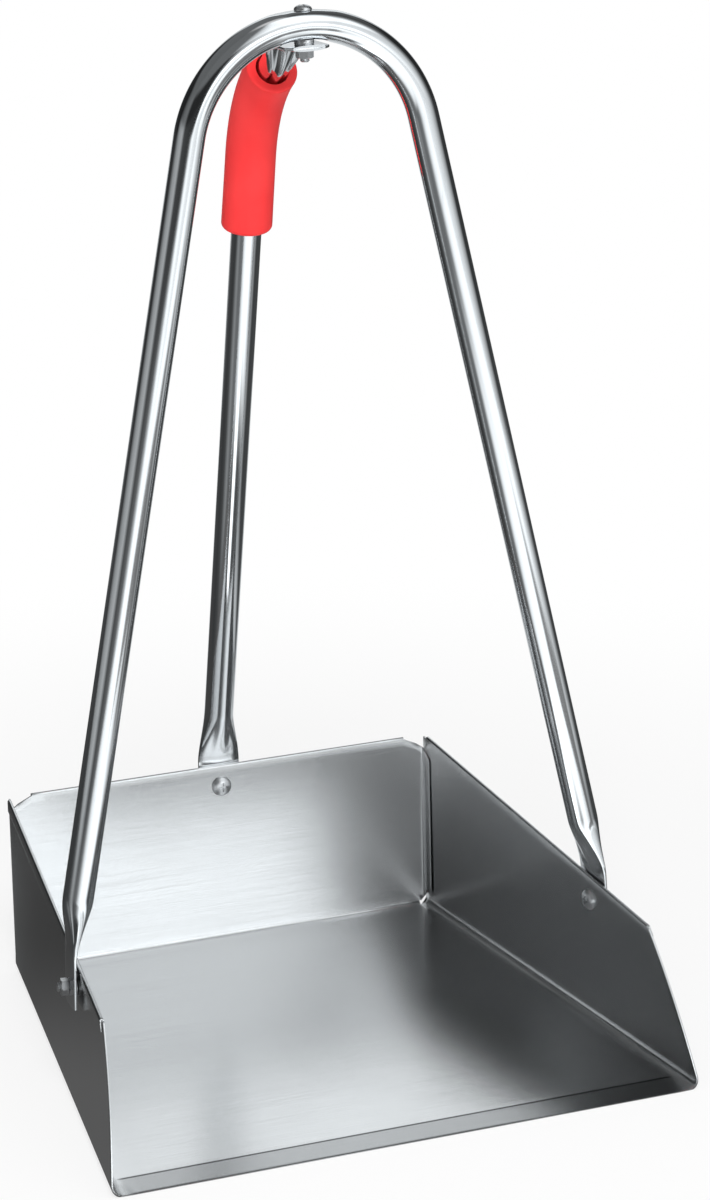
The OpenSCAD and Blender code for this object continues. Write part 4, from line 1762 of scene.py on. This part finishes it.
    def build(self) -> None:
        """Makes every screw, washer and nut in its place."""
        layout = self.layout
        screw, washer, nut = self.screw_rule(), self.washer_rule(), self.nut_rule()
        for station in self.stations():
            name, top = station.joint.value, station.joint is Joint.TOP
            head = (self.bolt_head_d, self.bolt_head_h) if top else (self.head_d, self.head_h)
            start = 0.0 if top else -layout.sheet_t
            washer_t = layout.top_washer_t if top else layout.washer_t
            washer_at = layout.seat_h - layout.tab_top - washer_t if top else 0.0
            nut_at = layout.seat_h - layout.tab_top + layout.foot_t if top else layout.foot_face
            sizes = {"Head Diameter": head[0], "Head Height": head[1], "Shank Diameter": self.screw_d,
                     "Length": nut_at - start + layout.nut_t + layout.screw_tail, "Pitch": self.pitch,
                     "Thread Depth": self.thread_deep, "Recess Length": self.recess_l,
                     "Recess Width": self.recess_w, "Recess Depth": self.recess_deep}
            self._set(screw, "screw", sizes, station, start, station.node, Body.DUSTPAN)
            sizes = {"Outer Diameter": self.washer_d, "Hole Diameter": self.hole_d, "Thickness": washer_t}
            self._set(washer, "washer", sizes, station, washer_at, name + "_washer", Body.DUSTPAN)
            sizes = {"Across Flats": self.nut_af, "Hole Diameter": self.nut_hole_d,
                     "Thickness": layout.nut_t}
            self._set(nut, "nut", sizes, station, nut_at, name + "_nut", station.nut_body)

    def _set(self, rule: RuleTree, kind: str, sizes: dict[str, float], station: Station, along: float,
             node: str, body: Body) -> None:
        """Makes one fastener from its tree.

        Args:
            rule: The fastener's tree.
            kind: First word of the piece's name.
            sizes: Sizes in millimetres by input name.
            station: The joint that it belongs to.
            along: Distance of its base along the screw.
            node: The node that it replaces.
            body: The body that it rides on.
        """
        name = kind + "_of_" + station.joint.value
        place = station.origin + station.axes @ np.array([0.0, 0.0, along])
        angles = Matrix(station.axes.tolist()).to_euler("XYZ")
        values = {label: value * MM for label, value in sizes.items()}
        values.update({"Place": tuple(place * MM), "Turn": tuple(angles), "Finish": self.finish})
        piece = rule.make(name, bpy.data.meshes.new(name + "_start"), values)
        hand_over(piece, self.finish, node, body)


@dataclass(frozen=True)
class Surround:
    """Tent round the object that shows only in reflections: pale at the front right, dim elsewhere."""

    yaw: float
    reach: float = 4.0
    ground: Ramp = (
        (-180, 0.7), (-165, 0.6), (-148, 0.06), (-105, 0.04), (-85, 0.06), (-63, 0.25), (-47, 0.14),
        (-34, 0.16), (-26, 0.35), (-18, 0.75), (-10, 1.0), (8, 1.2), (46, 1.2), (60, 0.8), (82, 0.36),
        (102, 0.05), (148, 0.06), (165, 0.6), (180, 0.7))
    apron: Ramp = (
        (-180, 0.5), (-150, 0.5), (-125, 0.2), (-105, 0.06), (-60, 0.06), (-30, 0.04), (-14, 0.1),
        (-4, 1.7), (8, 2.3), (18, 1.2), (28, 0.2), (38, 0.05), (70, 0.1), (95, 0.4), (120, 0.55),
        (150, 0.55), (180, 0.5))
    horizon: Ramp = (
        (-180, 0.6), (-168, 0.45), (-152, 0.03), (-105, 0.03), (-78, 0.30), (-52, 0.42), (-32, 0.07),
        (-10, 0.12), (4, 0.42), (15, 1.05), (24, 1.15), (34, 0.9), (62, 0.7), (84, 0.4), (105, 0.04),
        (152, 0.03), (168, 0.45), (180, 0.6))
    brow: Ramp = (
        (-180, 0.8), (-169, 0.6), (-154, 0.02), (-100, 0.015), (-78, 0.3), (-54, 0.4), (-38, 0.06),
        (22, 0.02), (32, 2.5), (37, 3.2), (43, 2.5), (52, 1.1), (82, 0.5), (98, 0.15), (114, 0.02),
        (154, 0.02), (169, 0.6), (180, 0.8))
    upper: Ramp = (
        (-180, 1.2), (-169, 0.95), (-154, 0.02), (-100, 0.015), (-78, 0.12), (-54, 0.16), (-38, 0.02),
        (18, 0.02), (32, 0.7), (42, 0.9), (82, 0.6), (98, 0.2), (114, 0.02), (154, 0.02), (169, 0.95),
        (180, 1.2))
    high: Ramp = (
        (-180, 0.14), (-60, 0.12), (-40, 0.14), (12, 0.14), (34, 1.25), (80, 1.2), (100, 0.2),
        (120, 0.05), (180, 0.14))
    tint: Triple = (0.96, 1.0, 1.02)
    zenith: Triple = (0.6, 0.6, 0.6)
    shade_front: Triple = (0.115, 0.115, 0.115)
    shade_back: Triple = (0.05, 0.05, 0.05)
    strip_left: Pair = (-0.37, -0.29)
    strip_right: Pair = (-0.14, -0.10)
    strip_front: Pair = (-0.26, -0.15)
    strip_fade: Pair = (-0.02, 0.2)
    apron_edge: Pair = (0.28, 0.42)
    swing: float = 14.0
    swing_edge: Pair = (0.9, 1.2)
    patch_share: float = 0.9
    patch_near: Pair = (0.40, 0.55)
    patch_far: Pair = (1.5, 2.1)
    patch_first: Pair = (34.0, 46.0)
    patch_last: Pair = (74.0, 88.0)
    patch_turn: float = 26.0
    patch_turn_edge: Pair = (0.78, 0.9)
    band_edges: Ramp = ((8.0, 12.0), (18.0, 24.0), (34.0, 42.0), (78.0, 88.0))
    sheet_climb: float = 0.0001
    top_gap: float = 0.02
    around: int = 96
    rows: int = 24

    def build(self) -> None:
        """Makes the ground sheet and the tent."""
        self._ground_sheet()
        self._tent()

    def _angle(self, graph: Graph) -> Sock:
        """Share of a full turn round the object, half at the photograph's side.

        Args:
            graph: The material's graph.

        Returns:
            The share's socket.
        """
        place = graph.place()
        across, along = (graph.part(place, axis) for axis in "XY")
        sine, cosine = math.sin(math.radians(self.yaw)), math.cos(math.radians(self.yaw))
        ahead = across * -sine + along * -cosine
        aside = across * cosine + along * -sine
        return aside.math("ARCTAN2", ahead) / (2 * math.pi) + 0.5

    @staticmethod
    def _share(degrees: float) -> float:
        """Share of a full turn at an angle from the photograph's side."""
        return 0.5 + degrees / 360

    def _tones(self, graph: Graph, share: Sock, levels: Ramp) -> Sock:
        """Tone by angle, from degrees and levels, a little cool."""
        stops = [(self._share(degrees), [level * part for part in self.tint]) for degrees, level in levels]
        return graph.node("ShaderNodeValToRGB", {"stops": stops}, {"Fac": share})

    def _ground_sheet(self) -> None:
        """Lays a round sheet on the floor."""
        material, graph = new_material("ground_sheet")
        place = graph.place()
        across, along = (graph.part(place, axis) for axis in "XY")
        beside = across.ramp(*self.strip_left) * (1.0 - across.ramp(*self.strip_right))
        beside = beside * along.ramp(*self.strip_front)
        far = graph.vector_math("LENGTH", place)
        share = self._angle(graph)
        near = 1.0 - far.ramp(*self.apron_edge)
        swung = share - far.ramp(*self.swing_edge) * (self.swing / 360)
        ground, apron = self._tones(graph, swung, self.ground), self._tones(graph, share, self.apron)
        tone = graph.mix(near, ground, apron)
        start = share - (1.0 - far.ramp(*self.patch_turn_edge)) * (self.patch_turn / 360)
        first = [self._share(angle) for angle in self.patch_first]
        last = [self._share(angle) for angle in self.patch_last]
        ahead = start.ramp(*first) * (1.0 - share.ramp(*last))
        ahead = ahead * far.ramp(*self.patch_near) * (1.0 - far.ramp(*self.patch_far))
        dim = (beside + ahead * self.patch_share).math("MINIMUM", 1.0)
        shade = graph.mix(along.ramp(*self.strip_fade), self.shade_front, self.shade_back)
        self._glow(graph, graph.mix(dim, tone, shade))
        self._stage("ground_sheet", self._ring(self.sheet_climb), [tuple(range(self.around))], material)

    def _ring(self, climb: float) -> np.ndarray:
        """Ring of points at the tent's reach.

        Args:
            climb: Angle above the floor in radians.

        Returns:
            Points in metres.
        """
        turns = np.linspace(0.0, 2 * math.pi, self.around, endpoint=False)
        flat = np.stack([np.cos(turns), np.sin(turns)], axis=1) * math.cos(climb)
        return np.column_stack([flat, np.full(self.around, math.sin(climb))]) * self.reach

    def _tent(self) -> None:
        """Raises a dome over the object."""
        material, graph = new_material("tent")
        share = self._angle(graph)
        climb = (graph.part(graph.place(), "Z") / self.reach).math("ARCSINE")
        ramps = (self.horizon, self.brow, self.upper, self.high)
        tone, *above = (self._tones(graph, share, ramp) for ramp in ramps)
        for edge, band in zip(self.band_edges, (*above, self.zenith)):
            tone = graph.mix(climb.ramp(*(math.radians(angle) for angle in edge)), tone, band)
        self._glow(graph, tone)
        rings = [self._ring(angle) for angle in np.linspace(0.0, math.pi / 2 - self.top_gap, self.rows)]
        faces = ring_faces(self.rows, self.around)
        faces.append(tuple(range((self.rows - 1) * self.around, self.rows * self.around)))
        self._stage("tent", np.concatenate(rings), faces, material)

    @staticmethod
    def _glow(graph: Graph, tone: Sock) -> None:
        """Ends a material in light of the given tone."""
        glow = graph.node("ShaderNodeEmission", {}, {"Color": tone, "Strength": 1.0})
        graph.node("ShaderNodeOutputMaterial", {}, {"Surface": glow})

    @staticmethod
    def _stage(name: str, points: np.ndarray, faces: list, material: bpy.types.Material) -> None:
        """Makes a stage piece that only reflections see.

        Args:
            name: The piece's name.
            points: Vertices in metres.
            faces: Vertex indices of each face.
            material: Its finish.
        """
        piece = mesh_piece(name, points / MM, faces)
        piece.data.materials.append(material)
        for ray in ("camera", "diffuse", "shadow", "transmission", "volume_scatter"):
            setattr(piece, "visible_" + ray, False)


@dataclass(frozen=True)
class SoftLamp:
    """Area lamp aimed at the handle's middle."""

    name: str
    place: Triple
    size: float
    power: float
    target: Triple = (0.0, 0.0, 0.25)

    def build(self) -> None:
        """Makes the lamp."""
        data = bpy.data.lights.new(self.name, "AREA")
        data.shape = "DISK"
        data.size = self.size
        data.energy = self.power
        lamp = add_object(self.name, data)
        lamp.location = self.place
        aim = Vector(self.target) - lamp.location
        lamp.rotation_euler = aim.to_track_quat("-Z", "Y").to_euler()
        lamp.visible_glossy = False


@dataclass
class Studio:
    """White floor and world, soft lamps, the surround and the camera."""

    focal_px: float = 4255.87
    long_side_px: float = 1200.0
    yaw: float = 22.1085
    pitch: float = 19.9136
    sensor_mm: float = 36.0
    camera_place: Triple = (-0.757372, -1.92152, 0.995565)
    ambient: float = 0.5
    floor_reach: float = 12000.0
    floor_tone: float = 0.92
    near_white: float = 0.72
    white_edge: Pair = (0.3, 0.75)

    def build(self) -> None:
        """Sets up everything around the object."""
        bpy.context.scene.view_settings.view_transform = "Standard"
        self._camera()
        self._floor()
        self._world()
        for lamp in (SoftLamp("key_lamp", (-0.7, -1.9, 2.5), 1.2, 58.0),
                     SoftLamp("fill_lamp", (-0.9, -2.2, 0.35), 1.2, 22.0)):
            lamp.build()
        Surround(self.yaw).build()

    def _camera(self) -> None:
        """Places the camera at the photograph's viewing angle."""
        data = bpy.data.cameras.new("camera")
        data.sensor_fit = "AUTO"
        data.sensor_width = self.sensor_mm
        data.lens = self.focal_px * data.sensor_width / self.long_side_px
        camera = add_object("camera", data)
        camera.location = self.camera_place
        camera.rotation_euler = (math.radians(90 - self.pitch), 0.0, math.radians(-self.yaw))
        bpy.context.scene.camera = camera

    def _floor(self) -> None:
        """Lays a pale floor that is white to the camera and keeps the object's shadow."""
        material, graph = new_material("studio_floor")
        rays = self._seen_rays(graph)
        far = graph.vector_math("LENGTH", graph.place()).ramp(*self.white_edge)
        matt = graph.node("ShaderNodeBsdfDiffuse", {}, {"Color": (self.floor_tone,) * 3 + (1.0,)})
        white = graph.node("ShaderNodeEmission", {}, {"Color": (1.0, 1.0, 1.0, 1.0), "Strength": 1.0})
        share = rays * (self.near_white + far * (1.0 - self.near_white))
        mixed = graph.node("ShaderNodeMixShader", {}, {0: share, 1: matt, 2: white})
        graph.node("ShaderNodeOutputMaterial", {}, {"Surface": mixed})
        corners = np.array([[-1.0, -1.0, 0.0], [1.0, -1.0, 0.0], [1.0, 1.0, 0.0], [-1.0, 1.0, 0.0]])
        floor = mesh_piece("studio_floor", corners * self.floor_reach, [(0, 1, 2, 3)])
        floor.data.materials.append(material)

    @staticmethod
    def _seen_rays(graph: Graph) -> Sock:
        """Tells camera, glossy and transmission rays from the rest.

        Args:
            graph: Graph of a material or of the world.

        Returns:
            1 for these rays and 0 for all others.
        """
        path = graph.node("ShaderNodeLightPath", {}, {}, "Is Camera Ray")
        outputs = path.socket.node.outputs
        glossy, through = Sock(graph, outputs["Is Glossy Ray"]), Sock(graph, outputs["Is Transmission Ray"])
        return (path + glossy + through).math("MINIMUM", 1.0)

    def _world(self) -> None:
        """Lights the object evenly and shows white behind it."""
        world = bpy.data.worlds.new("studio_world")
        bpy.context.scene.world = world
        world.use_nodes = True
        world.node_tree.nodes.clear()
        graph = Graph(world.node_tree)
        strength = self.ambient + self._seen_rays(graph) * (1.0 - self.ambient)
        glow = graph.node("ShaderNodeBackground", {}, {"Color": (1.0, 1.0, 1.0, 1.0), "Strength": strength})
        graph.node("ShaderNodeOutputWorld", {}, {"Surface": glow})


def write_sizes() -> None:
    """Updates the view layer.
    """
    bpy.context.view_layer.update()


def main() -> None:
    """Builds the pieces in order and sets up the studio."""
    logging.basicConfig(level=logging.INFO, format="%(message)s")
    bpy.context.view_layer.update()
    layout = Layout()
    PanSheet(layout).build(BrushedSheet().material())
    tube = PolishedTube().material()
    Hoop(layout).build(tube)
    handle = RearHandle(layout)
    handle.build(tube)
    GripSleeve(handle).build(SoftVinyl().material())
    Fasteners(layout, BrightZinc().material()).build()
    Studio().build()
    write_sizes()


if __name__ == "__main__":
    main()
